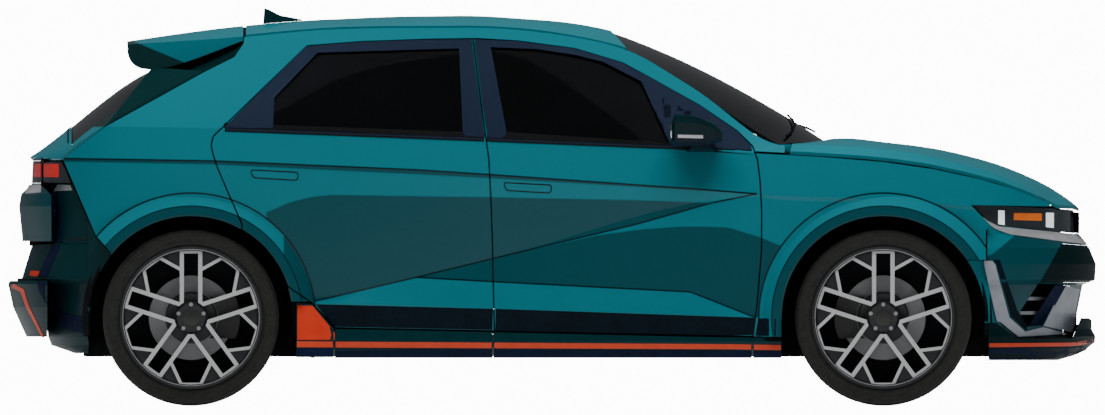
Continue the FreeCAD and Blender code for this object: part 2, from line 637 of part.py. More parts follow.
add("headlamps", with_mirror([side_lamp]) + [lamp.common(box(1600, 2400, 3 - LAMP_INNER_Y, LAMP_INNER_Y - 3, 600, 1000))])
SPLITTER_LEVELS = [(198, 2200, 10), (218, 2269, 10), (245, 2321, 8), (276, 2351, 0), (302, 2354, 0),
                   (334, 2340, 2), (373, 2339, 2), (390, 2320, 6)]
splitter = end_slab(SPLITTER_LEVELS, 1890, 90).common(side_prism(grown(SPLITTER_TOP, -SEAT_GAP), -1100, 1100))
add("front_splitter", splitter.cut(front_well))

# Carriers behind both bumpers
CARRIER_DEPTH = 10
front_carrier = end_slab([(300, 2270, 60), (500, 2270, 62), (560, 2280, 64), (700, 2276, 66), (846, 2262, 70)],
                         1740, CARRIER_DEPTH)
front_carrier = front_carrier.cut([front_well, side_prism(grown(SPLITTER_TOP, 3), -1100, 1100)])
rear_carrier = end_slab([(330, -2190, 70), (560, -2200, 68), (700, -2200, 66), (1030, -2200, 70)],
                        -1990, CARRIER_DEPTH)
rear_carrier = rear_carrier.cut(cylinder_y(REAR_AXLE_X, AXLE_Z, LINING_CLEAR, -LINING_OUT, LINING_OUT))
add("bumper_carriers", [front_carrier, rear_carrier])

# Rear bumper, tail lamps and diffuser
REAR_LEVELS = [(228, -2085, 14), (264, -2185, 12), (300, -2196, 10), (530, -2222, 2), (550, -2302, 0),
               (700, -2256, 0), (708, -2238, 0), (962, -2238, 10)]
rear_bumper = end_slab(REAR_LEVELS, -2011, 40)
GATE_SHUT = [(-2166, 707), (-2166, 915), (-2209, 961), (-2209, 1100)]
TAIL_EDGE = [(x - SHUT_GAP / 2, z) for x, z in QUARTER_TAIL]
BUMPER_START = -2014
rear_side = TAIL_EDGE + [(-1917 - SHUT_GAP / 2, 200), (-2500, 200), (-2500, 1072)]
rear_bumper = rear_bumper.common(side_prism(rear_side, -1100, 1100))
rear_well = [cylinder_y(REAR_AXLE_X, AXLE_Z, LINING_CLEAR, -LINING_OUT, LINING_OUT),
             side_prism(GATE_SHUT + [(-2500, 1100), (-2500, 707)], -1100, 1100)]
corner_side = [(BUMPER_START, 806)] + TAIL_EDGE[1:] + [(-1917 - SHUT_GAP / 2, 300), (BUMPER_START, 300)]
rear_corner = skin.common(side_prism(corner_side)).cut([rear_opening, rear_well[0]])
rear_bumper = fused([rear_bumper.cut(rear_well)] + with_mirror([rear_corner]))
add("rear_bumper", rear_bumper)
DIFFUSER_LEVELS = [(300, -2291, 10), (429, -2343, 4), (529, -2360, 0), (543, -2352, 0)]
add("rear_diffuser", end_slab(DIFFUSER_LEVELS, -2190, 60).cut(rear_bumper))
lamp_levels = [(967, -2274, 20), (1062, -2274, 20)]
tail_lamp = end_slab(lamp_levels, -2060, 40).common(
    side_prism([(-2127, 1059), (-2086, 966), (-2208, 966), (-2208, 1059)], -1100, -300))
add("tail_lamps", with_mirror([tail_lamp]))

# Tailgate with its glass and spoiler
GATE_SIDE = [(-2134, 1070), (-1944, 1213), (-1728, 1333), (-1519, 1448), (-1406, 1510), (-1341, 1574)]
GATE_MIDDLE = [(-2265, 1080), (-2096, 1205), (-1875, 1379), (-1700, 1480), (-1520, 1570), (-1341, 1630)]


GATE_GAP = 14


def gate_shape(depth):
    side = [Vector(x + depth * 0.5, -(body_half_width(x, z) - SKIN - GATE_GAP), z - depth) for x, z in GATE_SIDE]
    return from_middle(side, [Vector(x + depth * 0.5, 0, z - depth) for x, z in GATE_MIDDLE])


GATE_GLASS = [(-2085, 690), (-1560, 570), (-1560, -570), (-2085, -690)]
gate = curved_slab(gate_shape, 0, 34)
gate = gate.cut([plan_prism(GATE_GLASS, 1000, 1700), box(-2300, -2000, -900, 900, 900, 1066)])
GATE_LEVELS = [(714, -2304, 6), (866, -2313, 0), (919, -2308, 4), (962, -2274, 16), (1075, -2270, 18)]
gate_low = end_slab(GATE_LEVELS, -2172, 34)
GATE_FRONT = [(x - SHUT_GAP - 2, z) for x, z in GATE_SHUT[1:]]
gate_low = gate_low.cut(side_prism(GATE_FRONT + [(-2100, 1100), (-2100, 915)], -1000, 1000))
gate = gate.fuse(gate_low.cut(box(-2400, -2160, -1000, 1000, 966, 1063)))
add("tailgate", gate)
add("tailgate_lamps", end_slab([(966.3, -2274, 16), (1062.7, -2271, 18)], -2214, 34).cut(gate))
pane_area = plan_prism(grown(GATE_GLASS, -SEAT_GAP), 1000, 1700)
add("tailgate_glass", curved_slab(gate_shape, 4, 10).common(pane_area))


def spoiler_shape(face):
    """Top (0) or underside (1) of the spoiler."""
    top = [(-1841, 1566, 1582), (-1771, 1572, 1592), (-1563, 1585, 1622), (-1341, 1602, 1648)]
    under = [(-1843, 1536, 1546), (-1752, 1459, 1510), (-1563, 1500, 1558), (-1341, 1584, 1634)]
    points = under if face else top
    side = [Vector(x, -(along(CANT_WIDTH, x) - 10), z) for x, z, m in points]
    return from_middle(side, [Vector(x, 0, m) for x, z, m in points])


FIN_CORNERS = [(-1936, 1216), (-1510, 1452), (-1736, 1468)]
FIN_SET_IN = SKIN + GATE_GAP + 6
FIN_THICK = 12
fin_points = [Vector(x, FIN_SET_IN - body_half_width(x, z), z) for x, z in FIN_CORNERS[:2]]
fin_points.append(Vector(FIN_CORNERS[2][0], 16 - along(CANT_WIDTH, FIN_CORNERS[2][0]), FIN_CORNERS[2][1]))
fin_across = (fin_points[1] - fin_points[0]).cross(fin_points[2] - fin_points[0]).normalize()
side_fin = Part.Face(Part.makePolygon(fin_points + fin_points[:1]))
side_fin = side_fin.extrude(fin_across * math.copysign(FIN_THICK, fin_across.y))
add("rear_spoiler", fused([curved_slab(spoiler_shape, 0, 1)] + with_mirror([side_fin])).cut(gate))
fin = side_prism([(-1255, 1650), (-1250, 1725), (-1236, 1722), (-1180, 1694), (-1086, 1676), (-1080, 1650)],
                 -22, 22)
add("roof_fin", fin.cut(curved_slab(roof_shape, -SEAT_GAP, 60)))

# Side skirts
SKIRT_IN = 775.3
skirts = []
for x0, x1 in ((-943, -261), (-255, 864), (870, 992)):
    skirt_rows = []
    for z, inset in ((208, 40), (245, 10), (280, 6), (0, 22)):
        xs = [x0 + (x1 - x0) * i / 4 for i in range(5)]
        skirt_rows.append([Vector(x, -(HALF_WIDTH - inset), z if z else along(SILL_LINE, x) - 5) for x in xs])
    skirts.append(slab(skirt_rows, [[Vector(p.x, -SKIRT_IN, p.z) for p in row] for row in skirt_rows]))
flag = side_prism([(-1110, FLAG_TOP), (-1040, FLAG_TOP - 6), (-949, 336), (-949, 212), (-1110, 212)], -944, -SKIRT_IN)
skirts.append(flag)
add("side_skirts", with_mirror(skirts))

# Floor, bulkhead and trays
floor = box(-1095, 969, -775, 775, 312, 326)
sills = [box(-1000, 960, -775, -700, 326, 420), box(-1000, 960, 700, 775, 326, 420)]
REAR_FLOOR = 500
FRONT_FLOOR = 430
JACK_POINTS = [(-880, 735), (780, 735)]
JACK_RADIUS = 28
JACK_FOOT = 222
jack_feet = [Part.makeCylinder(JACK_RADIUS, 312 - JACK_FOOT, Vector(x, side * y, JACK_FOOT), AXIS_Z)
             for x, y in JACK_POINTS for side in (-1, 1)]
rear_floor = [box(-2060, -1095, -470, 470, REAR_FLOOR, REAR_FLOOR + 14),
              box(-1109, -1095, -470, 470, 312, REAR_FLOOR)]
bulkhead = box(955, 969, -JAMB_OUT, JAMB_OUT, 312, 1060)
hinge_panel = box(840, 969, -JAMB_OUT, JAMB_THICK - JAMB_OUT, 326, 1095)
cowl = box(969, 1100, -700, 700, 1000, 1060)
front_tray = [box(969, 2040, -470, 470, FRONT_FLOOR, FRONT_FLOOR + 14),
              box(2026, 2040, -470, 470, FRONT_FLOOR + 14, 640)]
add("underbody", fused([floor] + sills + rear_floor + [bulkhead, cowl] + with_mirror([hinge_panel])
                        + front_tray + jack_feet))
add("battery_pack", box(-1100, 950, -690, 690, 214, 312 - SEAT_GAP))
add("drive_units", [box(-1760, -1380, -304.7, 304.7, 250, 470), box(1240, 1620, -304.7, 304.7, 250, 425)])
STEER_AXIS_Y = 740
KNUCKLE_FOOT = 250
for name, x in (("rear", REAR_AXLE_X), ("front", FRONT_AXLE_X)):
    frame = fused([box(x - 260, x + 260, -345, -305, 240, 300), box(x - 260, x + 260, 305, 345, 240, 300),
                   box(x - 260, x - 220, -345, 345, 240, 300), box(x + 220, x + 260, -345, 345, 240, 300)])
    arms = []
    for side in (-1, 1):
        for dx in (-180, 180):
            arms.append(rod((x + dx, side * 330, 270), (x, side * (STEER_AXIS_Y - 50), 234), 13))
        arms.append(Part.makeCylinder(30, 20, Vector(x, side * STEER_AXIS_Y, KNUCKLE_FOOT - 20 - SEAT_GAP), AXIS_Z))
        arms.append(box(x - 24, x + 24, side * STEER_AXIS_Y - 60 * (side > 0), side * STEER_AXIS_Y + 60 * (side < 0),
                        KNUCKLE_FOOT - 20 - SEAT_GAP, KNUCKLE_FOOT - SEAT_GAP))
    post_top = REAR_FLOOR if name == "rear" else FRONT_FLOOR
    posts = [box(x + dx - 20, x + dx + 20, y - 20, y + 20, 300, post_top - SEAT_GAP)
             for dx in (-240, 240) for y in (-325, 325)]
    add("subframe_" + name, fused([frame] + arms + posts))

# Wheels
rim_barrel = turned([(RIM_RADIUS, -128), (RIM_RADIUS, -116), (RIM_RADIUS - 14, -110), (RIM_RADIUS - 22, 100),
                     (RIM_RADIUS, 118), (RIM_RADIUS, 128), (RIM_RADIUS - 6, 128), (RIM_RADIUS - 32, 100),
                     (RIM_RADIUS - 24, -108), (RIM_RADIUS - 14, -128)], 0, 0)
hub = turned([(0, -118), (60, -118), (72, -105), (72, -70), (0, -70)], 0, 0)
hub = hub.fuse(Part.makeCylinder(30, 60, Vector(0, -80, 0), AXIS_Y))
SPOKE_OFFSET = 40
SPOKE_WIDTH = 18
BRANCH_RADIUS = 206
BRANCH_ANGLE = 28


def plate(points, y0, y1):
    wire = Part.makePolygon([Vector(x, y0, z) for x, z in points + points[:1]])
    return Part.Face(wire).extrude(Vector(0, y1 - y0, 0))


spokes = []
for k in range(5):
    for side in (-1, 1):
        bar = Part.makeBox(240, 34, SPOKE_WIDTH, Vector(58, -118, side * SPOKE_OFFSET - SPOKE_WIDTH / 2))
        a = (BRANCH_RADIUS, side * SPOKE_OFFSET)
        b = (295 * math.cos(math.radians(BRANCH_ANGLE)), side * 295 * math.sin(math.radians(BRANCH_ANGLE)))
        n = unit_normal(a, b)
        branch = plate([(a[0] + n[0] * 7, a[1] + n[1] * 7), (b[0] + n[0] * 7, b[1] + n[1] * 7),
                        (b[0] - n[0] * 7, b[1] - n[1] * 7), (a[0] - n[0] * 7, a[1] - n[1] * 7)], -117, -88)
        web = plate([a, (290, side * SPOKE_OFFSET), b], -104, -90)
        for piece in (bar, branch, web):
            piece.rotate(Vector(0, 0, 0), AXIS_Y, -(90 + 72 * k))
            spokes.append(piece)
rim = fused([rim_barrel, hub] + spokes)
tyre = turned([(RIM_RADIUS + SEAT_GAP, -118), (RIM_RADIUS + 12, -127), (345, -131), (372, -122),
               (TYRE_RADIUS, -105), (TYRE_RADIUS, 105), (372, 122), (345, 131), (RIM_RADIUS + 12, 127),
               (RIM_RADIUS + SEAT_GAP, 118)], 0, 0)
disc = turned([(31, -62), (105, -62), (107, -20), (183, -20), (183, 8), (70, 8), (70, -8), (31, -8)], 0, 0)
for name, x in (("front", FRONT_AXLE_X), ("rear", REAR_AXLE_X)):
    for part_name, shape in (("tyre", tyre), ("rim", rim), ("brake_disc", disc)):
        placed = shape.copy()
        placed.translate(Vector(x, -TRACK_HALF, AXLE_Z))
        both_sides(part_name + "_" + name, placed)

# Knuckles with their brake calipers
for name, x, caliper_side in (("front", FRONT_AXLE_X, -1), ("rear", REAR_AXLE_X, 1)):
    y = -TRACK_HALF
    ring_part = turned([(120, -44), (212, -44), (212, 60), (120, 60), (120, 34), (190, 34), (190, -26), (120, -26)],
                       x, AXLE_Z)
    ring_part.translate(Vector(0, y, 0))
    caliper = ring_part.common(box(min(x, x + caliper_side * 300), max(x, x + caliper_side * 300),
                                   -1000, -600, AXLE_Z - 90, AXLE_Z + 90))
    bracket = box(min(x, x + caliper_side * 200), max(x, x + caliper_side * 200), y + 40, y + 58,
                  AXLE_Z - 30, AXLE_Z + 30)
    carrier = fused([cylinder_y(x, AXLE_Z, 62, y + 10, y + 90),
                     box(x - 40, x + 40, y + 60, y + 110, KNUCKLE_FOOT, 560), bracket, caliper])
    carrier = carrier.cut(cylinder_y(x, AXLE_Z, 34, y - 100, y + 60))
    if name == "front":
        both_sides("knuckle_front", [carrier])
    else:
        add("knuckles_rear", with_mirror([carrier]))

# Spring and damper units
dampers = []
for x in (FRONT_AXLE_X, REAR_AXLE_X):
    foot = (x + 60, -560, 292)
    top = (x + 60, -545, 800)
    dampers.append(fused([rod(foot, top, 11), rod(foot, (foot[0], -553, 520), 26),
                          Part.makeCylinder(48, 8, Vector(x + 60, -552, 520), AXIS_Z),
                          Part.makeCylinder(60, 10, Vector(x + 60, -545, 796), AXIS_Z)]))
add("dampers", with_mirror(dampers))

# Wipers on the cowl
wipers = []
for y0, y1 in ((-640, -30), (-10, 560)):
    path = [screen_point(y0 + (y1 - y0) * i / 4, 0.04 + 0.1 * i / 4, -5) for i in range(5)]
    arm = [rod(tuple(a), tuple(b), 5) for a, b in zip(path, path[1:])]
    wipers.append(fused(arm + [Part.makeSphere(6, p) for p in path[1:-1]]))
add("wipers", wipers)

# Linings of the wheel arches
LINING_FOOT = 306
linings = []
for x in (FRONT_AXLE_X, REAR_AXLE_X):
    ring = turned([(r, y) for r, y in ((LINING_RADIUS + 6, -LINING_OUT), (LINING_RADIUS, -LINING_OUT),
                                       (LINING_RADIUS, -470.3), (LINING_RADIUS + 6, -470.3))], x, AXLE_Z)
    linings.append(ring.common(box(x - 500, x + 500, -900, -400, LINING_FOOT, 1000)))
    wall = cylinder_y(x, AXLE_Z, LINING_RADIUS - 1, -476, -470.3)
    linings.append(wall.common(box(x - 500, x + 500, -900, -400, LINING_FOOT, 1000)))
add("arch_linings", with_mirror(linings))

# Cabin: seats, dashboard and steering wheel
FLOOR_TOP = 326
seats = []
for y in (-380, 380):
    base = box(-180, 330, y - 250, y + 250, FLOOR_TOP + SEAT_GAP, 560)
    back = side_prism([(-180, 520), (-60, 520), (-220, 1180), (-320, 1180)], y - 240, y + 240)
    head = box(-345, -255, y - 130, y + 130, 1180, 1360)
    seats.append(fused([base, back, head]))
bench = box(-1080, -560, -600, 600, FLOOR_TOP + SEAT_GAP, 700)
bench_back = side_prism([(-1080, 650), (-960, 650), (-1180, 1240), (-1280, 1240)], -440, 440)
seats.append(fused([bench, bench_back]))
add("seats", seats)
add("dashboard", side_prism([(954.7, 700), (954.7, 1040), (900, 1085), (720, 1060), (640, 960), (700, 800)],
                            -720, 720))
wheel = fused([Part.makeTorus(170, 15, Vector(0, 0, 0), AXIS_Z), box(-170, 170, -18, 18, -12, 12),
               Part.makeCylinder(50, 30, Vector(0, 0, -15), AXIS_Z)])
WHEEL_RAKE = 66
column = Part.makeCylinder(20, 120, Vector(0, 0, -120), AXIS_Z)
steering = wheel.fuse(column)
steering.rotate(Vector(0, 0, 0), AXIS_Y, -WHEEL_RAKE)
steering.translate(Vector(520, 380, 960))
add("steering_wheel", steering)
add("bonnet", bonnet)

os.makedirs("parts", exist_ok=True)
for name, solids in parts.items():
    shape = solids[0] if len(solids) == 1 else Part.makeCompound(solids)
    shape.exportStep("parts/" + name + ".step")
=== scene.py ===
import json
import math
import bmesh
import bpy
import numpy
from mathutils import Matrix, Vector
from mathutils.bvhtree import BVHTree

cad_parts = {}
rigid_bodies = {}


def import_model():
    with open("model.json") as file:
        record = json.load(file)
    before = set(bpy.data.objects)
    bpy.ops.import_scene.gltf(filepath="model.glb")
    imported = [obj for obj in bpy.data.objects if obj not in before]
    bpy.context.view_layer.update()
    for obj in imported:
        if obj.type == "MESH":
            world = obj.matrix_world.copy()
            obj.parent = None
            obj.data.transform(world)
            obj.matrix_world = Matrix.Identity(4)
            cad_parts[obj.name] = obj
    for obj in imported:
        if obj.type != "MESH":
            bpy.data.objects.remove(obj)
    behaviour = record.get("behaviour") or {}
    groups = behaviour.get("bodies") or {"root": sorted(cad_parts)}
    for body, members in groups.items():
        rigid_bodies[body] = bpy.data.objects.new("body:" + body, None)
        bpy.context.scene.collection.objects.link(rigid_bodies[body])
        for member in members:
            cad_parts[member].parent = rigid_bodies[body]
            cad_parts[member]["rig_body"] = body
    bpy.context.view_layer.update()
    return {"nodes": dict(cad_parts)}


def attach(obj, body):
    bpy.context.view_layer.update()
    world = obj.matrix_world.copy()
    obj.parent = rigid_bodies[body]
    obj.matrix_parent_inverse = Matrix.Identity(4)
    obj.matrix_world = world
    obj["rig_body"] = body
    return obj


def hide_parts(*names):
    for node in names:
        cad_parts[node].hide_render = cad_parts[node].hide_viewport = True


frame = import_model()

# Places are written in millimetres, as in the car's source, and MM turns them into metres.
# +X is the car's front, +Z is up, -Y is the right side, and side is -1 for right and 1 for left.
MM = 0.001
SIDES = ((-1, "right"), (1, "left"))
BODY = "body"
NODES = frame["nodes"]
REAR_AXLE = Vector((-1.567, 0, 0.383))
FRONT_AXLE = Vector((1.434, 0, 0.383))
AXLES = (("front", FRONT_AXLE), ("rear", REAR_AXLE))
TRACK_HALF = 0.822
BOLT_RADIUS = 0.057
LIP_OUT = (0.834, 0.842)
LIP_RADII = (0.441, 0.472)
HALF_SPAN = 2.4
HEIGHT_SPAN = 2.0
NOISE_LOW = 0.3
NOISE_HIGH = 0.7
OUTSIDE = 1.5


# Colours and node helpers
def colour(red, green, blue):
    """Linear colour from 0 to 255 screen values."""
    parts = []
    for value in (red, green, blue):
        share = value / 255
        parts.append(share / 12.92 if share < 0.04045 else ((share + 0.055) / 1.055) ** 2.4)
    return (*parts, 1.0)


class Shader:
    """One node material, with short calls for the nodes that these materials use."""

    def __init__(self, name):
        self.material = bpy.data.materials.new(name)
        self.material.use_nodes = True
        self.tree = self.material.node_tree
        self.bsdf = self.tree.nodes["Principled BSDF"]
        self.place = self.tree.nodes.new("ShaderNodeTexCoord")

    def node(self, kind, values=None, **settings):
        made = self.tree.nodes.new(kind)
        for key, value in settings.items():
            setattr(made, key, value)
        for key, value in (values or {}).items():
            made.inputs[key].default_value = value
        return made

    def link(self, output, target):
        self.tree.links.new(output, target)

    def scaled(self, scale):
        """Object coordinates times a scale, one number or three."""
        mapping = self.node("ShaderNodeMapping")
        mapping.inputs["Scale"].default_value = (scale,) * 3 if isinstance(scale, (int, float)) else scale
        self.link(self.place.outputs["Object"], mapping.inputs["Vector"])
        return mapping.outputs["Vector"]

    def noise(self, scale, detail=3.0):
        texture = self.node("ShaderNodeTexNoise", {"Scale": 1.0, "Detail": detail})
        self.link(self.scaled(scale), texture.inputs["Vector"])
        return texture.outputs["Fac"]

    def drift(self, scale, detail, start, end):
        """Noise that wanders between start and end."""
        return self.spread(self.noise(scale, detail), NOISE_LOW, NOISE_HIGH, start, end)

    def cells(self, scale, feature="F1"):
        texture = self.node("ShaderNodeTexVoronoi", {"Scale": 1.0}, feature=feature)
        self.link(self.scaled(scale), texture.inputs["Vector"])
        return texture

    def spread(self, value, low, high, start, end):
        """Value from low to high turned into start to end."""
        made = self.node("ShaderNodeMapRange", {"From Min": low, "From Max": high, "To Min": start,
            "To Max": end})
        self.link(value, made.inputs["Value"])
        return made.outputs["Result"]

    def maths(self, operation, a, b=0.0):
        made = self.node("ShaderNodeMath", operation=operation)
        for slot, value in zip(made.inputs, (a, b)):
            if isinstance(value, (int, float)):
                slot.default_value = value
            else:
                self.link(value, slot)
        return made.outputs[0]

    def mixed(self, share, a, b):
        made = self.node("ShaderNodeMix", data_type="RGBA")
        self.link(share, made.inputs["Factor"])
        for slot, value in zip((made.inputs["A"], made.inputs["B"]), (a, b)):
            if isinstance(value, tuple):
                slot.default_value = value
            else:
                self.link(value, slot)
        return made.outputs["Result"]

    def bump(self, height, distance, strength=1.0):
        made = self.node("ShaderNodeBump", {"Strength": strength, "Distance": distance})
        self.link(height, made.inputs["Height"])
        self.link(made.outputs["Normal"], self.bsdf.inputs["Normal"])

    def set(self, **values):
        for key, value in values.items():
            self.bsdf.inputs[key.replace("_", " ")].default_value = value

    def colour_from(self, output):
        self.link(output, self.bsdf.inputs["Base Color"])

    def rough_from(self, output):
        self.link(output, self.bsdf.inputs["Roughness"])


def darker(tone, share):
    return (tone[0] * share, tone[1] * share, tone[2] * share, 1.0)


# Lines of the body side, in millimetres, that bound its painted shade and that its painted shade lines follow
DIAGONAL = [(-1029, 455), (-591, 558), (-257, 640), (379, 792), (681, 878), (886, 920)]
SHADE_TOP = [(-1236, 841), (-1139, 883), (-1041, 907), (-956, 915), (-269, 905), (379, 892), (650, 882),
    (681, 878), (700, 860)]
LOWER_TOP = DIAGONAL[:3] + [(190, 739), (389, 766), (547, 777), (646, 778), (762, 774), (903, 731),
    (986, 695)]
LOWER_FOOT = [(-1029, 455), (-591, 558), (-257, 539), (379, 506), (596, 495), (878, 384), (1000, 384)]
SHOULDER = [(-2126, 1073), (-1466, 1062), (-965, 1040), (-576, 1023), (-271, 1003), (639, 939),
    (886, 920)]
SHOULDER_FOOT = [(-2126, 1059), (-1466, 1047), (-965, 1022), (-576, 1004), (-271, 987), (639, 934),
    (886, 918)]
FLARE_LINE = 0.484
FLARE_EDGE = 0.540


class BodyShader(Shader):
    """Paint shader that knows where on the body side it is."""

    def __init__(self, name):
        super().__init__(name)
        places = self.node("ShaderNodeSeparateXYZ")
        self.link(self.place.outputs["Object"], places.inputs[0])
        self.x = places.outputs["X"]
        self.y = places.outputs["Y"]
        self.z = places.outputs["Z"]

    def height_of(self, line):
        """Height in metres of a line of (x, z) points, at this x."""
        curve = self.node("ShaderNodeFloatCurve")
        mapping = curve.mapping
        mapping.extend = "HORIZONTAL"
        points = [((x * MM + HALF_SPAN) / (2 * HALF_SPAN), z * MM / HEIGHT_SPAN) for x, z in line]
        track = mapping.curves[0].points
        track[0].location = points[0]
        track[-1].location = points[-1]
        for point in points[1:-1]:
            track.new(*point)
        for point in track:
            point.handle_type = "VECTOR"
        mapping.update()
        self.link(self.spread(self.x, -HALF_SPAN, HALF_SPAN, 0.0, 1.0), curve.inputs["Value"])
        return self.maths("MULTIPLY", curve.outputs["Value"], HEIGHT_SPAN)

    def above(self, line, soft=0.003):
        return self.spread(self.maths("SUBTRACT", self.z, self.height_of(line)), -soft, soft, 0.0, 1.0)

    def below(self, line, soft=0.003):
        return self.spread(self.maths("SUBTRACT", self.z, self.height_of(line)), -soft, soft, 1.0, 0.0)

    def between(self, low, high, x0, x1):
        inside = self.maths("MULTIPLY", self.above(low), self.below(high))
        ahead = self.maths("GREATER_THAN", self.x, x0 * MM)
        behind = self.maths("LESS_THAN", self.x, x1 * MM)
        return self.maths("MULTIPLY", inside, self.maths("MULTIPLY", ahead, behind))

    def radius(self, axle):
        run = self.maths("SUBTRACT", self.x, axle.x)
        rise = self.maths("SUBTRACT", self.z, axle.z)
        return self.maths("SQRT", self.maths("ADD", self.maths("MULTIPLY", run, run),
            self.maths("MULTIPLY", rise, rise)))

    def flakes(self, tone, light, share):
        grain = self.noise(900.0, 1.0)
        bright = tuple(min(1.0, c * 1.9 + 0.01) for c in light[:3]) + (1.0,)
        return self.mixed(self.spread(grain, 0.35, 0.7, 0.0, share), tone, bright)

    def clear_coat(self):
        self.rough_from(self.drift(7.0, 2.0, 0.36, 0.42))
        self.set(Metallic=0.1, Specular_IOR_Level=0.2, Coat_Weight=0.35, Coat_Roughness=0.05,
            Coat_IOR=1.35)


# Car paint: fine metal flakes under a clear coat, with painted shade in a deeper tone on zones of the body
# side and thin painted shade lines along its creases and flare edges
def side_paint(name, light, deep, crease_shade_tone):
    shader = BodyShader(name)
    front = shader.radius(FRONT_AXLE)
    rear = shader.radius(REAR_AXLE)
    nearest = shader.maths("MINIMUM", front, rear)
    outside = shader.maths("GREATER_THAN", nearest, FLARE_EDGE)
    # Painted shade: zones of the door panels, the band inside the flare line round each arch, the front of
    # the rear arch's flare and a band under the shoulder crease take the deep tone
    upper = shader.between(DIAGONAL, SHADE_TOP, -1240, 690)
    lower = shader.between(LOWER_FOOT, LOWER_TOP, -600, 990)
    doors = shader.maths("MULTIPLY", shader.maths("MAXIMUM", upper, lower), outside)
    lip = shader.maths("LESS_THAN", nearest, FLARE_LINE)
    segment = shader.maths("MULTIPLY", shader.maths("GREATER_THAN", shader.x, -1.165),
        shader.maths("LESS_THAN", rear, FLARE_EDGE))
    crease = shader.between(SHOULDER_FOOT, SHOULDER, -2200, 886)
    dark = doors
    for other in (lip, segment, crease):
        dark = shader.maths("MAXIMUM", dark, other)
    tone = shader.mixed(dark, light, deep)
    # Painted shade lines: thin dark lines along the flare edges, the diagonal and lower creases and the
    # shoulder crease
    crease_shade_lines = shader.maths("MAXIMUM", shader.spread(shader.maths("ABSOLUTE", shader.maths("SUBTRACT",
        nearest, FLARE_EDGE)), 0.0025, 0.0045, 1.0, 0.0), shader.spread(shader.maths("ABSOLUTE",
        shader.maths("SUBTRACT", nearest, FLARE_LINE)), 0.0015, 0.003, 1.0, 0.0))
    for line, x0, x1 in ((DIAGONAL, -1029, 886), (LOWER_FOOT, -591, 878), (SHOULDER, -2200, 886)):
        offset = shader.maths("ABSOLUTE", shader.maths("SUBTRACT", shader.z, shader.height_of(line)))
        near = shader.spread(offset, 0.0025, 0.0045, 1.0, 0.0)
        inside = shader.maths("MULTIPLY", shader.maths("GREATER_THAN", shader.x, x0 * MM),
            shader.maths("LESS_THAN", shader.x, x1 * MM))
        crease_shade_lines = shader.maths("MAXIMUM", crease_shade_lines, shader.maths("MULTIPLY", near, inside))
    outer = shader.maths("GREATER_THAN", shader.maths("ABSOLUTE", shader.y), 0.70)
    low = shader.maths("LESS_THAN", shader.z, 1.12)
    crease_shade_lines = shader.maths("MULTIPLY", crease_shade_lines, shader.maths("MULTIPLY", outer, low))
    shader.colour_from(shader.mixed(crease_shade_lines, shader.flakes(tone, light, 0.10), crease_shade_tone))
    shader.clear_coat()
    return shader.material


def plain_paint(name, light, share=0.10):
    shader = BodyShader(name)
    drift = shader.drift(1.3, 2.0, 0.0, 1.0)
    shader.colour_from(shader.flakes(shader.mixed(drift, darker(light, 0.95), darker(light, 1.05)), light,
        share))
    shader.clear_coat()
    return shader.material


# The nose is light above the line that runs up to the lamp, and has painted shade in the deep tone below it
def bumper_paint(name, light, deep):
    shader = BodyShader(name)
    share = shader.above([(1700, 560), (1912, 662), (1997, 733), (2100, 860)])
    slant = shader.maths("ADD", shader.x, shader.maths("MULTIPLY", shader.z, 0.25))
    share = shader.maths("MAXIMUM", share, shader.maths("LESS_THAN", slant, 2.032))
    shader.colour_from(shader.flakes(shader.mixed(share, deep, light), light, 0.06))
    shader.clear_coat()
    return shader.material


# The tailgate's frame round its glass, and the spoiler's fins below a slanting line, are dark green
def split_paint(name, light, deep, line, foot=None):
    shader = BodyShader(name)
    tone = shader.mixed(shader.above(line), deep, light)
    if foot:
        tone = shader.mixed(shader.maths("LESS_THAN", shader.z, foot), tone, DEEP_TEAL)
    shader.colour_from(shader.flakes(tone, light, 0.05))
    shader.clear_coat()
    return shader.material


# Door mirrors: a green cap over a navy base
def mirror_paint(name, cap, base):
    shader = BodyShader(name)
    share = shader.above([(400, 1168), (800, 1158)], 0.002)
    shader.colour_from(shader.mixed(share, base, cap))
    shader.clear_coat()
    return shader.material


# Moulded plastic with a leather-like grain
def plastic(name, tone, rough=0.55, grain=700.0, depth=0.00008, coat=0.0, shine=0.5):
    shader = Shader(name)
    cells = shader.cells(grain)
    shader.bump(cells.outputs["Distance"], depth)
    drift = shader.drift(9.0, 4.0, 0.0, 1.0)
    shader.colour_from(shader.mixed(drift, darker(tone, 0.82), darker(tone, 1.15)))
    shader.rough_from(shader.drift(60.0, 2.0, rough - 0.06, rough + 0.06))
    shader.set(Coat_Weight=coat, Coat_Roughness=0.05, Specular_IOR_Level=shine)
    return shader.material


# Gloss surfaces such as lamp covers, piano-black trim and small painted pieces
def gloss(name, tone, rough=0.22, coat=0.5, metallic=0.0, glow=0.0, shine=0.5):
    shader = Shader(name)
    drift = shader.drift(14.0, 3.0, 0.0, 1.0)
    shader.colour_from(shader.mixed(drift, darker(tone, 0.93), darker(tone, 1.06)))
    shader.rough_from(shader.drift(140.0, 2.0, rough - 0.03, rough + 0.03))
    shader.set(Metallic=metallic, Coat_Weight=coat, Coat_Roughness=0.03, Specular_IOR_Level=shine)
    if glow:
        shader.set(Emission_Color=tone, Emission_Strength=glow)
    return shader.material


# Metal with fine directional brushing, or an even grain where the scale is the same along every axis
def metal(name, tone, rough=0.32, brush=(30.0, 900.0, 900.0), depth=0.00002, metallic=1.0):
    shader = Shader(name)
    lines = shader.noise(brush, 2.0)
    shader.bump(lines, depth)
    drift = shader.drift(11.0, 4.0, 0.0, 1.0)
    shader.colour_from(shader.mixed(drift, darker(tone, 0.85), darker(tone, 1.1)))
    shader.rough_from(shader.spread(lines, NOISE_LOW, NOISE_HIGH, rough - 0.07, rough + 0.08))
    shader.set(Metallic=metallic)
    return shader.material


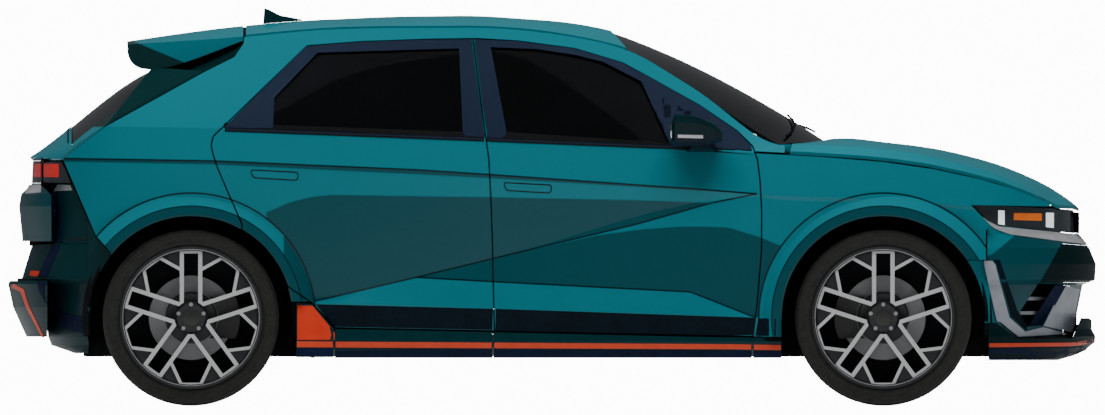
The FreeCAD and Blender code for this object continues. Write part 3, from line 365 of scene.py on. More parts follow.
def tinted_glass(name, tone, thick_tone=0.5):
    shader = Shader(name)
    haze = shader.noise(3.0, 2.0)
    shader.rough_from(shader.spread(haze, NOISE_LOW, NOISE_HIGH, 0.0, 0.02))
    shader.colour_from(shader.mixed(shader.spread(haze, NOISE_LOW, NOISE_HIGH, 0.0, 1.0), tone,
        darker(tone, thick_tone)))
    shader.set(Transmission_Weight=0.92, IOR=1.45)
    return shader.material


def rubber(name, tone=colour(30, 30, 28)):
    shader = Shader(name)
    drift = shader.drift(24.0, 5.0, 0.0, 1.0)
    shader.colour_from(shader.mixed(drift, darker(tone, 0.8), darker(tone, 1.25)))
    shader.rough_from(shader.drift(90.0, 3.0, 0.68, 0.85))
    shader.bump(shader.noise(1500.0, 2.0), 0.00006)
    return shader.material


# Woven cloth: two sets of threads that cross
def cloth(name, tone, threads=900.0):
    shader = Shader(name)
    axes = shader.node("ShaderNodeSeparateXYZ")
    shader.link(shader.scaled(threads), axes.inputs[0])
    warp = shader.maths("SINE", axes.outputs["X"])
    weft = shader.maths("SINE", axes.outputs["Y"])
    rise = shader.maths("SINE", axes.outputs["Z"])
    weave = shader.maths("ADD", shader.maths("MULTIPLY", warp, weft), rise)
    shader.bump(weave, 0.0004, 0.6)
    drift = shader.drift(30.0, 5.0, 0.0, 1.0)
    shader.colour_from(shader.mixed(drift, darker(tone, 0.75), darker(tone, 1.25)))
    shader.set(Roughness=0.85, Sheen_Weight=0.3, Sheen_Roughness=0.5)
    return shader.material


TEAL = colour(6, 110, 122)
# DEEP_TEAL is the painted shade tone of the body side and nose, and split_paint also puts it on the
# tailgate's lower part; colour(3, 26, 34) below is the painted shade along the body side's creases
DEEP_TEAL = colour(2, 62, 70)
MATERIALS = {"side": side_paint("side_paint", TEAL, DEEP_TEAL, colour(3, 26, 34)),
    "paint": plain_paint("teal_paint", TEAL), "bumper": bumper_paint("bumper_paint", TEAL, DEEP_TEAL),
    "gate": split_paint("gate_paint", colour(4, 38, 38), TEAL, [(-2400, 1210), (-1300, 1210)], 0.96),
    "spoiler": split_paint("spoiler_paint", TEAL, colour(4, 38, 38), [(-1930, 1640), (-1845, 1592),
    (-1785, 1568), (-1507, 1452), (-1300, 1440)]), "mirror": mirror_paint("mirror_paint",
    colour(2, 30, 33), colour(9, 22, 38)), "green": gloss("dark_green_paint", colour(4, 44, 48), 0.5, 0.1,
    shine=0.15), "night_green": gloss("night_green_paint", colour(2, 26, 28), 0.55, 0.05, shine=0.1),
    "navy": plastic("navy_plastic", colour(3, 20, 30), 0.75, shine=0.15), "blue": plastic("blue_plastic",
    colour(12, 24, 52), 0.75, shine=0.15), "navy_trim": gloss("navy_gloss_trim", colour(24, 35, 54), 0.35,
    0.2), "black": plastic("black_plastic", colour(10, 13, 20), 0.7, shine=0.2),
    "piano": gloss("gloss_black", colour(2, 24, 26), 0.55, 0.0, shine=0.1), "liner": plastic("felt_liner",
    colour(4, 9, 18), 0.9, 1500.0, 0.0003), "orange": gloss("orange_paint", colour(214, 56, 30), 0.45,
    0.1, shine=0.15), "stripe": gloss("orange_stripe", colour(206, 70, 44), 0.45, 0.1, shine=0.1),
    "silver": metal("satin_silver", colour(166, 168, 171), 0.4, metallic=0.2),
    "chrome": metal("bright_trim", colour(186, 188, 192), 0.35, metallic=0.2),
    "blade": metal("blade_silver", colour(150, 156, 165), 0.45, metallic=0.2),
    "dark_metal": metal("cast_metal", colour(40, 42, 44), 0.5, (160.0, 160.0, 160.0), 0.0001, 0.4),
    "caliper": metal("caliper_paint", colour(52, 52, 50), 0.45, (220.0, 220.0, 220.0), 0.00006, 0.3),
    "steel": metal("bare_steel", colour(150, 152, 154), 0.4, metallic=0.4),
    "glass": tinted_glass("dark_glass", (0.012, 0.014, 0.017, 1)),
    "screen_glass": tinted_glass("screen_glass", (0.03, 0.032, 0.032, 1)),
    "mirror_face": metal("mirror_face", colour(190, 196, 200), 0.06, (4.0, 4.0, 4.0), 0.0),
    "lamp_grey": gloss("lamp_body", colour(36, 44, 49), 0.3, 0.3), "lamp_white": gloss("lamp_white",
    colour(244, 247, 248), 0.3, 0.3, 0.0, 0.7), "amber": gloss("lamp_amber", colour(232, 112, 34), 0.2,
    0.5, 0.0, 0.1), "red": gloss("lamp_red", colour(222, 38, 32), 0.2, 0.6, 0.0, 0.12),
    "rubber": rubber("tyre_rubber"), "seal": rubber("door_seal", colour(12, 13, 14)),
    "seat": cloth("seat_cloth", colour(44, 46, 50)),}


# The wheel's machined faces are bright, and its recesses are dark
def two_tone_rim():
    shader = BodyShader("machined_rim")
    axes = shader.node("ShaderNodeSeparateXYZ")
    shader.link(shader.place.outputs["Normal"], axes.inputs[0])
    places = shader.node("ShaderNodeSeparateXYZ")
    shader.link(shader.place.outputs["Object"], places.inputs[0])
    facing = shader.maths("GREATER_THAN", shader.maths("ABSOLUTE", axes.outputs["Y"]), 0.9)
    outermost = shader.maths("GREATER_THAN", shader.maths("ABSOLUTE", places.outputs["Y"]), TRACK_HALF
        + 0.1125)
    radius = shader.maths("MINIMUM", shader.radius(FRONT_AXLE), shader.radius(REAR_AXLE))
    spokes = shader.maths("MULTIPLY", shader.maths("GREATER_THAN", radius, 0.072),
        shader.maths("LESS_THAN", radius, 0.2965))
    face = shader.maths("MULTIPLY", shader.maths("MULTIPLY", facing, outermost), spokes)
    cut = shader.noise((260.0, 20.0, 260.0), 2.0)
    bright = shader.mixed(cut, colour(176, 177, 178), colour(206, 207, 208))
    dark = shader.mixed(shader.noise(40.0, 3.0), colour(34, 35, 37), colour(50, 51, 53))
    shader.colour_from(shader.mixed(face, dark, bright))
    shader.rough_from(shader.spread(face, 0.0, 1.0, 0.42, 0.34))
    shader.bump(cut, 0.00002)
    shader.set(Metallic=0.25, Coat_Weight=0.3)
    return shader.material


# Brake discs: turned rings, and a dark hat
def turned_disc():
    shader = Shader("turned_disc")
    places = shader.node("ShaderNodeSeparateXYZ")
    shader.link(shader.place.outputs["Object"], places.inputs[0])
    rise = shader.maths("SUBTRACT", places.outputs["Z"], FRONT_AXLE.z)
    ahead = shader.maths("GREATER_THAN", places.outputs["X"], 0.0)
    axle = shader.maths("ADD", shader.maths("MULTIPLY", ahead, FRONT_AXLE.x - REAR_AXLE.x), REAR_AXLE.x)
    run = shader.maths("SUBTRACT", places.outputs["X"], axle)
    square = shader.maths("ADD", shader.maths("MULTIPLY", rise, rise), shader.maths("MULTIPLY", run, run))
    radius = shader.maths("SQRT", square)
    rings = shader.maths("SINE", shader.maths("MULTIPLY", radius, 5200.0))
    shader.bump(rings, 0.00005)
    rubbed = shader.maths("GREATER_THAN", radius, 0.112)
    tone = shader.mixed(shader.spread(rings, -1.0, 1.0, 0.0, 1.0), colour(132, 133, 135),
        colour(150, 151, 153))
    shader.colour_from(shader.mixed(rubbed, colour(62, 63, 64), tone))
    shader.rough_from(shader.drift(30.0, 3.0, 0.3, 0.42))
    shader.set(Metallic=0.55)
    return shader.material


MATERIALS["rim"] = two_tone_rim()
MATERIALS["disc"] = turned_disc()
NODE_MATERIALS = {"body_side": "side", "pillar": "paint", "front_wing": "side", "roof": "paint",
    "bonnet": "paint", "door_front": "side", "door_rear": "side", "tailgate": "gate",
    "rear_spoiler": "spoiler", "mirror": "mirror", "roof_fin": "green", "windscreen": "screen_glass",
    "glass_door": "glass", "tailgate_glass": "glass", "front_bumper": "bumper", "front_mask": "piano",
    "bumper_blades": "blade", "bumper_carriers": "black", "front_splitter": "night_green",
    "rear_bumper": "green", "rear_diffuser": "green", "side_skirts": "green", "headlamps": "lamp_grey",
    "tail_lamps": "lamp_grey", "tailgate_lamps": "lamp_grey", "underbody": "black",
    "battery_pack": "steel", "drive_units": "steel", "subframe": "dark_metal", "tyre": "rubber",
    "rim": "rim", "brake_disc": "disc", "knuckle": "caliper", "knuckles_rear": "caliper",
    "dampers": "dark_metal", "wipers": "black", "arch_linings": "liner", "seats": "seat",
    "dashboard": "black", "steering_wheel": "black",}
for name, node in NODES.items():
    matches = [key for key in NODE_MATERIALS if name.startswith(key)]
    chosen = MATERIALS[NODE_MATERIALS[max(matches, key=len)]]
    node.data.materials.clear()
    node.data.materials.append(chosen)


# Mesh helpers
def mesh_object(name, vertices, faces, material, body, smooth=True):
    data = bpy.data.meshes.new(name)
    data.from_pydata([tuple(v) for v in vertices], [], faces)
    return placed(name, data, material, body, smooth)


def placed(name, data, material, body, smooth=True):
    """Object from a mesh, with its outward faces, its finish and the body that it rides on."""
    shape = bmesh.new()
    shape.from_mesh(data)
    bmesh.ops.recalc_face_normals(shape, faces=shape.faces)
    shape.to_mesh(data)
    shape.free()
    data.materials.append(MATERIALS[material])
    made = bpy.data.objects.new(name, data)
    bpy.context.scene.collection.objects.link(made)
    if smooth:
        data.shade_smooth()
        split = made.modifiers.new("edges", "EDGE_SPLIT")
        split.split_angle = math.radians(35)
    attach(made, body)
    return made


def ring_faces(rings, count):
    """Faces between rings that follow one another, each of count points."""
    return [(r * count + i, r * count + (i + 1) % count, (r + 1) * count + (i + 1) % count,
        (r + 1) * count + i) for r in range(rings - 1) for i in range(count)]


def prism(name, outline, side, y0, y1, material):
    """Straight piece of the body with a side-view outline, between two distances from the middle."""
    walls = [[Vector((x, side * y, z)) * MM for x, z in outline] for y in (y0, y1)]
    count = len(outline)
    faces = [tuple(range(count)), tuple(range(2 * count - 1, count - 1, -1))] + ring_faces(2, count)
    mesh_object(name, walls[0] + walls[1], faces, material, BODY, smooth=False)


def skin_of(*names):
    """Search tree of the outer faces of some nodes, at rest."""
    vertices = []
    faces = []
    for name in names:
        data = NODES[name].data
        start = len(vertices)
        vertices += [v.co.copy() for v in data.vertices]
        faces += [[start + i for i in p.vertices] for p in data.polygons]
    return BVHTree.FromPolygons(vertices, faces)


GAP_DEPTH = 0.04
GAP_REACHES = (0.008, 0.014, 0.020)


def on_skin(tree, x, z, side):
    """Place and outward direction of the skin's outermost point at x and z.

    A gap that lets light through is bridged from the skin on its two sides."""
    def hit(dx, dz):
        return tree.ray_cast(Vector((x + dx, side * OUTSIDE, z + dz)), Vector((0, -side, 0)))[:2]

    place, normal = hit(0, 0)
    depth = -9 if place is None else side * place.y
    for reach in GAP_REACHES:
        for dx, dz in ((reach, 0), (0, reach)):
            a, direction = hit(dx, dz)
            b = hit(-dx, -dz)[0]
            if a is not None and b is not None and min(side * a.y, side * b.y) > depth + GAP_DEPTH:
                place = Vector((x, (a.y + b.y) / 2, z))
                normal = direction
                depth = side * place.y
    tries = 0
    while place is None and tries < 8:
        tries += 1
        for dx, dz in ((-0.008 * tries * math.copysign(1, x), 0), (0, -0.008 * tries),
                (0, 0.008 * tries)):
            a, direction = hit(dx, dz)
            if a is not None and place is None:
                place = Vector((x, a.y, z))
                normal = direction
    if place is None:
        near, normal = tree.find_nearest(Vector((x, side * 0.9, z)))[:2]
        place = Vector((x, near.y, z))
    if normal.y * side < 0:
        normal = -normal
    return place, normal


class EvenSkin:
    """Even surface through the outer faces of some nodes, also across a window's opening."""

    NEIGHBOURS = 12
    SMOOTHING = 0.0004

    def __init__(self, names, side, x0, x1, z0, z1):
        tree = skin_of(*names)
        self.side = side
        self.middle = Vector(((x0 + x1) / 2, (z0 + z1) / 2))
        found = []
        for x in numpy.linspace(x0, x1, 60):
            for z in numpy.linspace(z0, z1, 40):
                place, normal = tree.ray_cast(Vector((x, side * OUTSIDE, z)), Vector((0, -side, 0)))[:2]
                if place is not None and abs(normal.y) > 0.6 and side * place.y > 0.6:
                    found.append((place.x, place.z, side * place.y))
        for _ in range(3):
            self.points = numpy.array(found)
            rows = self.terms(self.points[:, 0], self.points[:, 1])
            self.factors = numpy.linalg.lstsq(rows, self.points[:, 2], rcond=None)[0]
            self.rest = self.points[:, 2] - rows @ self.factors
            found = [p for p, r in zip(found, self.rest) if r > -0.008]

    def terms(self, x, z):
        u = x - self.middle.x
        v = z - self.middle.y
        return numpy.stack([u ** i * v ** k for i in range(4) for k in range(4 - i)], axis=-1)

    def out(self, x, z):
        """Distance from the middle plane."""
        away = (self.points[:, 0] - x) ** 2 + (self.points[:, 1] - z) ** 2
        nearest = numpy.argpartition(away, self.NEIGHBOURS)[:self.NEIGHBOURS]
        weights = 1 / (away[nearest] + self.SMOOTHING)
        rest = (weights * self.rest[nearest]).sum() / weights.sum()
        return float((self.terms(numpy.array([x]), numpy.array([z])) @ self.factors)[0] + rest)

    def __call__(self, x, z):
        step = 0.01
        here = self.out(x, z)
        rise = (self.out(x, z + step) - here) / step
        run = (self.out(x + step, z) - here) / step
        return Vector((x, self.side * here, z)), Vector((-run, self.side, -rise)).normalized()


def filled(outline, step):
    """Flat mesh over an (x, z) outline, cut by a grid so that it can follow a curved skin."""
    shape = bmesh.new()
    shape.faces.new([shape.verts.new((x * MM, 0, z * MM)) for x, z in outline])
    bmesh.ops.triangulate(shape, faces=shape.faces[:])
    for axis, values in ((0, [x for x, _ in outline]), (2, [z for _, z in outline])):
        low, high = min(values) * MM, max(values) * MM
        count = int((high - low) / step)
        for i in range(1, count + 1):
            place = [0, 0, 0]
            place[axis] = low + (high - low) * i / (count + 1)
            direction = [0, 0, 0]
            direction[axis] = 1
            everything = shape.verts[:] + shape.edges[:] + shape.faces[:]
            bmesh.ops.bisect_plane(shape, geom=everything, plane_co=place, plane_no=direction)
    return shape


def patch(name, outline, tree, side, material, body, slot, lift=1.0, thick=3.0, step=0.03, square=False):
    """Thin piece with a side-view outline that lies on the body side, lift mm proud of it.

    A square one is set in or out along Y alone, so that it stays behind the same gap."""
    shape = filled(outline, step)
    inwards = {}
    for vertex in shape.verts:
        if isinstance(tree, EvenSkin):
            place, normal = tree(vertex.co.x, vertex.co.z)
        else:
            place, normal = on_skin(tree, vertex.co.x, vertex.co.z, side)
        if square:
            normal = Vector((0, side, 0))
        vertex.co = place + normal * lift * MM
        inwards[tuple(round(c, 6) for c in vertex.co)] = normal * -thick * MM
    extruded = bmesh.ops.extrude_face_region(shape, geom=shape.faces[:])
    for item in extruded["geom"]:
        if isinstance(item, bmesh.types.BMVert):
            item.co += inwards[tuple(round(c, 6) for c in item.co)]
    data = bpy.data.meshes.new(name)
    shape.to_mesh(data)
    shape.free()
    return placed(name, data, material, body)


def band(line, above, below):
    """Closed outline of a strip that follows a line of (x, z) points."""
    upper = []
    lower = []
    for i, point in enumerate(line):
        a = Vector(line[max(i - 1, 0)])
        b = Vector(line[min(i + 1, len(line) - 1)])
        along = (b - a).normalized()
        across = Vector((-along.y, along.x))
        if across.y < 0:
            across = -across
        upper.append(tuple(Vector(point) + across * above))
        lower.append(tuple(Vector(point) - across * below))
    return upper + lower[::-1]


def rounded(outline, radius, count=4):
    """Outline with each corner turned into a short arc."""
    result = []
    for i, corner in enumerate(outline):
        here = Vector(corner)
        before = Vector(outline[i - 1]) - here
        after = Vector(outline[(i + 1) % len(outline)]) - here
        reach = min(radius, before.length * 0.45, after.length * 0.45)
        start = here + before.normalized() * reach
        end = here + after.normalized() * reach
        for k in range(count + 1):
            t = k / count
            result.append(tuple(start * (1 - t) ** 2 + here * 2 * t * (1 - t) + end * t * t))
    return result


def lathe(name, profile, centre, material, body, segments=96, closed=False):
    """Ring from (radius, y) points in metres, turned about a line along Y through the centre."""
    vertices = []
    faces = []
    count = len(profile)
    for i in range(segments):
        angle = 2 * math.pi * i / segments
        for radius, y in profile:
            vertices.append(Vector((centre.x + radius * math.cos(angle), centre.y + y, centre.z
                + radius * math.sin(angle))))
    for i in range(segments):
        for k in range(count if closed else count - 1):
            a = i * count + k
            b = i * count + (k + 1) % count
            c = ((i + 1) % segments) * count + (k + 1) % count
            d = ((i + 1) % segments) * count + k
            faces.append((a, b, c, d))
    return mesh_object(name, vertices, faces, material, body)


# Tyres: rounded sidewalls with raised rings, and a road tread of ribs, grooves and cross cuts
CUT_DEPTH = 5.5


def tyre(name, axle, side, body, node):
    outer = [(304, 116), (312, 121), (318, 124), (322, 125.5), (325, 129), (331, 129.5), (334, 128),
        (346, 130), (356, 129), (362, 127), (364, 127.6), (367, 127), (372, 121.5), (378, 114),
        (381.5, 107)]
    tread = [(382.5, 100), (382.6, 80), (375, 78), (375, 68), (382.9, 66), (383, 44), (383, 32),
        (375, 30), (375, 20), (383, 18)]
    profile = outer + tread
    profile = profile + [(r, -y) for r, y in reversed(profile)]
    segments = 216
    vertices = []
    faces = []
    count = len(profile)
    for i in range(segments):
        angle = 2 * math.pi * i / segments
        for r, y in profile:
            block = (i + (1 if abs(y) > 60 else 0)) % 6 == 0
            cross = r > 380 and (abs(y) >= 66 or 30 < abs(y) < 50) and block
            radius = (r - CUT_DEPTH if cross else r) * MM
            vertices.append(Vector((axle.x + radius * math.cos(angle), side * TRACK_HALF + y * MM, axle.z
                + radius * math.sin(angle))))
    for i in range(segments):
        j = (i + 1) % segments
        for k in range(count):
            m = (k + 1) % count
            faces.append((i * count + k, i * count + m, j * count + m, j * count + k))
    made = mesh_object(name, vertices, faces, "rubber", body)
    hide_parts(node)


for end, axle in AXLES:
    for side, side_name in SIDES:
        wheel = "wheel_" + end + "_" + side_name
        tyre("road_tyre_" + end + "_" + side_name, axle, side, wheel, "tyre_" + end + "_" + side_name)
        hub = Vector((axle.x, side * TRACK_HALF, axle.z))
        cap = [(r * MM, side * y * MM) for r, y in ((0.5, 125), (26, 124), (34, 122), (38, 118),
            (38, 110), (0.5, 110))]
        lathe("centre_cap_" + end + "_" + side_name, cap, hub, "caliper", wheel, 48, True)
        for k in range(5):
            angle = math.radians(90 + 72 * k)
            place = hub + Vector((math.cos(angle), 0, math.sin(angle))) * BOLT_RADIUS
            nut = [(r * MM, side * y * MM) for r, y in ((0.3, 122), (7, 122), (9, 120), (9.4, 108),
                (0.3, 108))]
            lathe("wheel_bolt_" + end + "_" + side_name + "_" + str(k), nut, place, "steel", wheel,
                12, True)


# Chords and closing bars of the five double spokes, and a splash shield behind each disc
CHORD_RADIUS = 0.290
CLOSING_RADIUS = 0.284
CHORD_HALF_ANGLE = math.radians(8)
PAIR_HALF_WIDTH = 0.049
FACE_OUT = 0.1175


def rim_bar(name, hub, side, angle, radius, half_length, half_width, wheel):
    """Bevelled bar across a radius of the wheel, in the plane of its spokes."""
    outward = Vector((math.cos(angle), 0, math.sin(angle)))
    across = Vector((-math.sin(angle), 0, math.cos(angle)))
    rings = ((0.090, 1.0), (FACE_OUT - 0.002, 1.0), (FACE_OUT, 0.82))
    vertices = []
    for out, share in rings:
        for a, b in ((-1, -1), (1, -1), (1, 1), (-1, 1)):
            vertices.append(hub + outward * (radius + b * half_width * share) + across * a * half_length
                + Vector((0, side * out, 0)))
    faces = [(0, 1, 2, 3), (8, 9, 10, 11)] + ring_faces(3, 4)
    mesh_object(name, vertices, faces, "rim", wheel, smooth=False)


for end, axle in AXLES:
    for side, side_name in SIDES:
        label = end + "_" + side_name
        wheel = "wheel_" + label
        hub = Vector((axle.x, side * TRACK_HALF, axle.z))
        for k in range(5):
            middle = math.radians(90 + 36 + 72 * k)
            rim_bar("rim_chord_" + label + "_" + str(k), hub, side, middle,
                CHORD_RADIUS * math.cos(CHORD_HALF_ANGLE), CHORD_RADIUS * math.sin(CHORD_HALF_ANGLE)
                + 0.006, 0.006, wheel)
            rim_bar("rim_closing_" + label + "_" + str(k), hub, side, math.radians(90 + 72 * k),
                CLOSING_RADIUS, PAIR_HALF_WIDTH, 0.007, wheel)
        shield = [(r * MM, -side * y * MM) for r, y in ((64, 14), (190, 14), (196, 24), (283, 24),
            (286, 14), (288, 16), (285, 28), (194, 28), (188, 18), (64, 18))]
        carrier = BODY if end == "rear" else NODES["knuckle_front_" + side_name]["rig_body"]
        lathe("splash_shield_" + label, shield, hub, "black", carrier, 64, True)


# Stripes, flags and trim along both sides
def both(name, outline, nodes, body, material, slot, **settings):
    """The same patch on the right and on the left; {} in a name stands for the side."""
    for side, side_name in SIDES:
        tree = skin_of(*[n.format(side_name) for n in nodes])
        patch(name + "_" + side_name, outline, tree, side, material, body.format(side_name), slot,
            **settings)


STRIPE_TOP = [(-1120, 281), (-940, 279), (770, 268), (1000, 264)]
STRIPE_FOOT = [(-1120, 255), (-940, 254), (770, 246), (1000, 243)]


def height_on(line, x):
    """Height of a straight-edged line at x."""
    for a, b in zip(line, line[1:]):
        if x <= b[0]:
            return a[1] + (b[1] - a[1]) * (x - a[0]) / (b[0] - a[0])
    return line[-1][1]


def cut_out(top, foot, x0, x1):
    """Outline between two lines, from x0 to x1."""
    xs = [x0] + [x for x, _ in top if x0 < x < x1] + [x1]
    return [(x, height_on(top, x)) for x in xs] + [(x, height_on(foot, x)) for x in reversed(xs)]


DOOR_FRONT = "door_front_{}"
DOOR_REAR = "door_rear_{}"
both("sill_cladding_rear", [(-1026, 441), (-258, 421), (-261, 330), (-948, 344)], [DOOR_REAR], DOOR_REAR,
    "navy", "dark_paint")
both("sill_cladding_front", [(-246, 421), (770, 386), (880, 382), (872, 308), (770, 306), (-248, 327)],
    [DOOR_FRONT], DOOR_FRONT, "navy", "dark_paint")
both("sill_cladding_wing", [(892, 380), (992, 377), (992, 303), (880, 305)], ["front_wing_{}"], BODY,
    "navy", "dark_paint")
for x0, x1, part in ((-1108, -952, "flag"), (-940, -264, "rear"), (-252, 861, "front"),
        (873, 990, "tip")):
    both("sill_stripe_" + part, cut_out(STRIPE_TOP, STRIPE_FOOT, x0, x1), ["side_skirts"], BODY, "stripe",
        "dark_paint", lift=1.4)
    both("sill_foot_" + part, [(x0, height_on(STRIPE_FOOT, x0) - 5), (x1, height_on(STRIPE_FOOT, x1) - 5),
        (x1, 211), (x0, 211)], ["side_skirts"], BODY, "blue", "dark_paint", lift=1.4)
both("sill_flag", [(-1106, 436), (-1040, 434), (-944, 318), (-944, 287), (-1106, 287)], ["side_skirts"],
    BODY, "orange", "dark_paint", lift=1.4)


# Door handles: flush plates in shallow frames
def handle(name, outline, node):
    both(name + "_frame", rounded(outline, 16), [node], node, "seal", "dark_paint", lift=0.8, thick=2)
    low, high = outline[0], outline[2]
    inner = [(x + (5 if x < (low[0] + high[0]) / 2 else -5), z + (-5 if k < 2 else 5)) for k,
        (x, z) in enumerate(outline)]
    both(name + "_plate", rounded(inner, 12), [node], node, "paint", "teal_paint", lift=3.0, thick=4)


handle("handle_front", [(-215, 971), (-1, 960), (-5, 921), (-203, 932)], DOOR_FRONT)
handle("handle_rear", [(-1312, 1026), (-1099, 1015), (-1103, 976), (-1300, 987)], DOOR_REAR)

# Trim around the side windows
DOOR_SKINS = {}
for side, side_name in SIDES:
    DOOR_SKINS["rear", side] = EvenSkin(["door_rear_" + side_name], side, -1.48, -0.26, 0.9, 1.60)
    DOOR_SKINS["front", side] = EvenSkin(["door_front_" + side_name], side, -0.35, 0.89, 0.9, 1.60)


def on_door(name, part, outline, material, **settings):
    for side, side_name in SIDES:
        patch(name + "_" + part + "_" + side_name, outline, DOOR_SKINS[part, side], side, material,
            "door_" + part + "_" + side_name, "dark_paint", **settings)


REAR_GLASS = [(-382, 1182), (-398, 1557), (-1021, 1538), (-1211, 1340), (-1219, 1317), (-1219, 1213)]
FRONT_GLASS = [(516, 1131), (627, 1275), (387, 1412), (221, 1497), (97, 1528), (-69, 1553), (-277, 1562),
    (-205, 1180)]


def inset(outline, distance):
    """Outline moved inwards by a distance at every corner."""
    result = []
    area = sum(a[0] * b[1] - b[0] * a[1] for a, b in zip(outline, outline[1:] + outline[:1]))
    turn = 1 if area > 0 else -1
    for i, corner in enumerate(outline):
        here = Vector(corner)
        a = (here - Vector(outline[i - 1])).normalized()
        b = (Vector(outline[(i + 1) % len(outline)]) - here).normalized()
        normal = (Vector((-a.y, a.x)) + Vector((-b.y, b.x))).normalized() * turn
        reach = distance / max(0.5, normal.dot(Vector((-a.y, a.x)) * turn))
        result.append(tuple(here + normal * reach))
    return result


GLASS_LAP = 7
REAR_EDGE = inset(REAR_GLASS, GLASS_LAP)
FRONT_EDGE = inset(FRONT_GLASS, GLASS_LAP)
on_door("window_trim", "rear", [(-1424, 1204), (-1070, 1558), (-832, 1578), (-522, 1588), (-350, 1589),
    (-313, 1278), (-294, 1166), (-375, 1169)] + REAR_EDGE + [(-1212, 1204)], "navy_trim", lift=2.5)
on_door("window_trim", "front", [(-280, 1162), (-300, 1278), (-339, 1589), (-152, 1580), (97, 1547),
    (301, 1486), (430, 1418), (638, 1301), (801, 1189), (862, 1124), (864, 1106), (512, 1128)]
    + FRONT_EDGE + [(-213, 1160)], "navy_trim", lift=4.5)
on_door("window_foot", "rear", [(-1424, 1205), (-294, 1162), (-294, 1185), (-1424, 1226)], "seal",
    lift=1.8)
on_door("window_foot", "front", [(-284, 1162), (516, 1128), (516, 1140), (-284, 1193)], "seal", lift=1.8)
BELT_TOP = [(-1424, 1207), (-965, 1190), (-320, 1165), (516, 1130), (862, 1106)]
for part, x0, x1 in (("rear", -1420, -297), ("front", -285, 860)):
    on_door("belt_seal", part, cut_out(BELT_TOP, [(x, z - 17) for x, z in BELT_TOP], x0, x1), "seal",
        lift=3.0, thick=5)
    on_door("belt_bar", part, cut_out([(x, z - 5) for x, z in BELT_TOP], [(x, z - 11) for x,
        z in BELT_TOP], x0 + 4, min(x1 - 4, 560)), "navy_trim", lift=4.2, thick=3)

# Door mirrors
both("mirror_strip", [(516, 1163), (652, 1160), (652, 1174), (516, 1177)], ["mirror_{}"], DOOR_FRONT,
    "chrome", "teal_paint", lift=1.5)
for side, side_name in SIDES:
    rim = rounded([(940, 1158), (934, 1200), (975, 1222), (1056, 1220), (1070, 1202), (1064, 1164),
        (1046, 1154), (970, 1152)], 16, 3)
    rings = [[Vector((x, side * (1002 + (y - 1002) * share), 1187 + (z - 1187) * share)) * MM for y,
        z in rim] for x, share in ((518, 1.0), (513, 1.0), (511, 0.97), (511, 0.02))]
    vertices = [v for ring in rings for v in ring]
    mesh_object("mirror_glass_" + side_name, vertices, ring_faces(4, len(rim)), "mirror_face",
        "door_front_" + side_name)

# Headlamps: a dark case with white blocks, an amber lamp, a silver strip and a navy end
LAMP = ["headlamps", "front_bumper"]
both("lamp_end", [(2246, 843), (2282, 838), (2282, 748), (2246, 752)], LAMP, BODY, "navy", "lamp_plastic",
    lift=2.0, step=0.008)
both("lamp_block_rear", [(1932, 848), (1959, 847), (1959, 784), (1932, 789)], LAMP, BODY, "lamp_white",
    "lamp_plastic", lift=1.6)
both("lamp_block_front", [(2139, 838), (2172, 837), (2172, 772), (2139, 776)], LAMP, BODY, "lamp_white",
    "lamp_plastic", lift=1.6)
both("lamp_amber", [(1999, 837), (2120, 835), (2120, 803), (1999, 806)], LAMP, BODY, "amber",
    "lamp_plastic", lift=1.6)
both("lamp_strip", [(1806, 864), (1885, 803), (1935, 778), (2278, 744), (2316, 700), (2208, 712),
    (1984, 743), (1920, 767), (1872, 800)], LAMP, BODY, "silver", "lamp_plastic", lift=4.0, step=0.01)

# Nose: navy channels beside the blades, the duct's wall, and the splitter's stripe and foot
NOSE = ["front_bumper"]
both("blade_channel", [(1913, 634), (1938, 634), (2019, 405), (2058, 352), (2053, 327), (1988, 388),
    (1926, 614)], NOSE, BODY, "navy", "dark_paint", lift=1.2)
for side, side_name in SIDES:
    patch("duct_wall_" + side_name, [(2178, 524), (2228, 524), (2128, 346), (2064, 348)],
        EvenSkin(["front_bumper", "bumper_blades"], side, 1.95, 2.24, 0.34, 0.64), side, "blue", BODY,
        "dark_paint", lift=-26, square=True)
both("splitter_stripe", [(1893, 272), (2244, 275), (2300, 281), (2340, 290), (2342, 278), (2300, 266),
    (2244, 260), (1893, 255)], ["front_splitter"], BODY, "stripe", "dark_paint", lift=1.4)
both("splitter_foot", [(1893, 250), (2244, 255), (2300, 260), (2318, 246), (2266, 222), (2150, 208),
    (1893, 204)], ["front_splitter"], BODY, "blue", "dark_paint", lift=1.4)

# Tail lamps: red blocks, silver strips below them, and the block and bands of the rear corner
TAIL = ["tail_lamps", "tailgate_lamps", "tailgate", "rear_bumper"]
both("lamp_red_corner", [(-2204, 1050), (-2139, 1049), (-2139, 992), (-2204, 992)], TAIL, BODY, "red",
    "lamp_plastic", lift=1.6)
both("lamp_red_gate", [(-2249, 1050), (-2217, 1050), (-2217, 992), (-2249, 992)], TAIL, "tailgate", "red",
    "lamp_plastic", lift=3.0, step=0.008)
both("corner_strip", [(-2145, 959), (-2090, 958), (-2081, 935), (-2162, 931)], TAIL, BODY, "silver",
    "lamp_plastic", lift=1.6)
both("gate_strip", [(-2268, 957), (-2212, 959), (-2216, 925), (-2286, 921)], TAIL, "tailgate", "silver",
    "lamp_plastic", lift=3.0, step=0.007)
both("corner_band", [(-2163, 929), (-2146, 929), (-2123, 720), (-2198, 545), (-2236, 549), (-2164, 706)],
    TAIL, BODY, "blue", "dark_paint", lift=2.5, step=0.015)
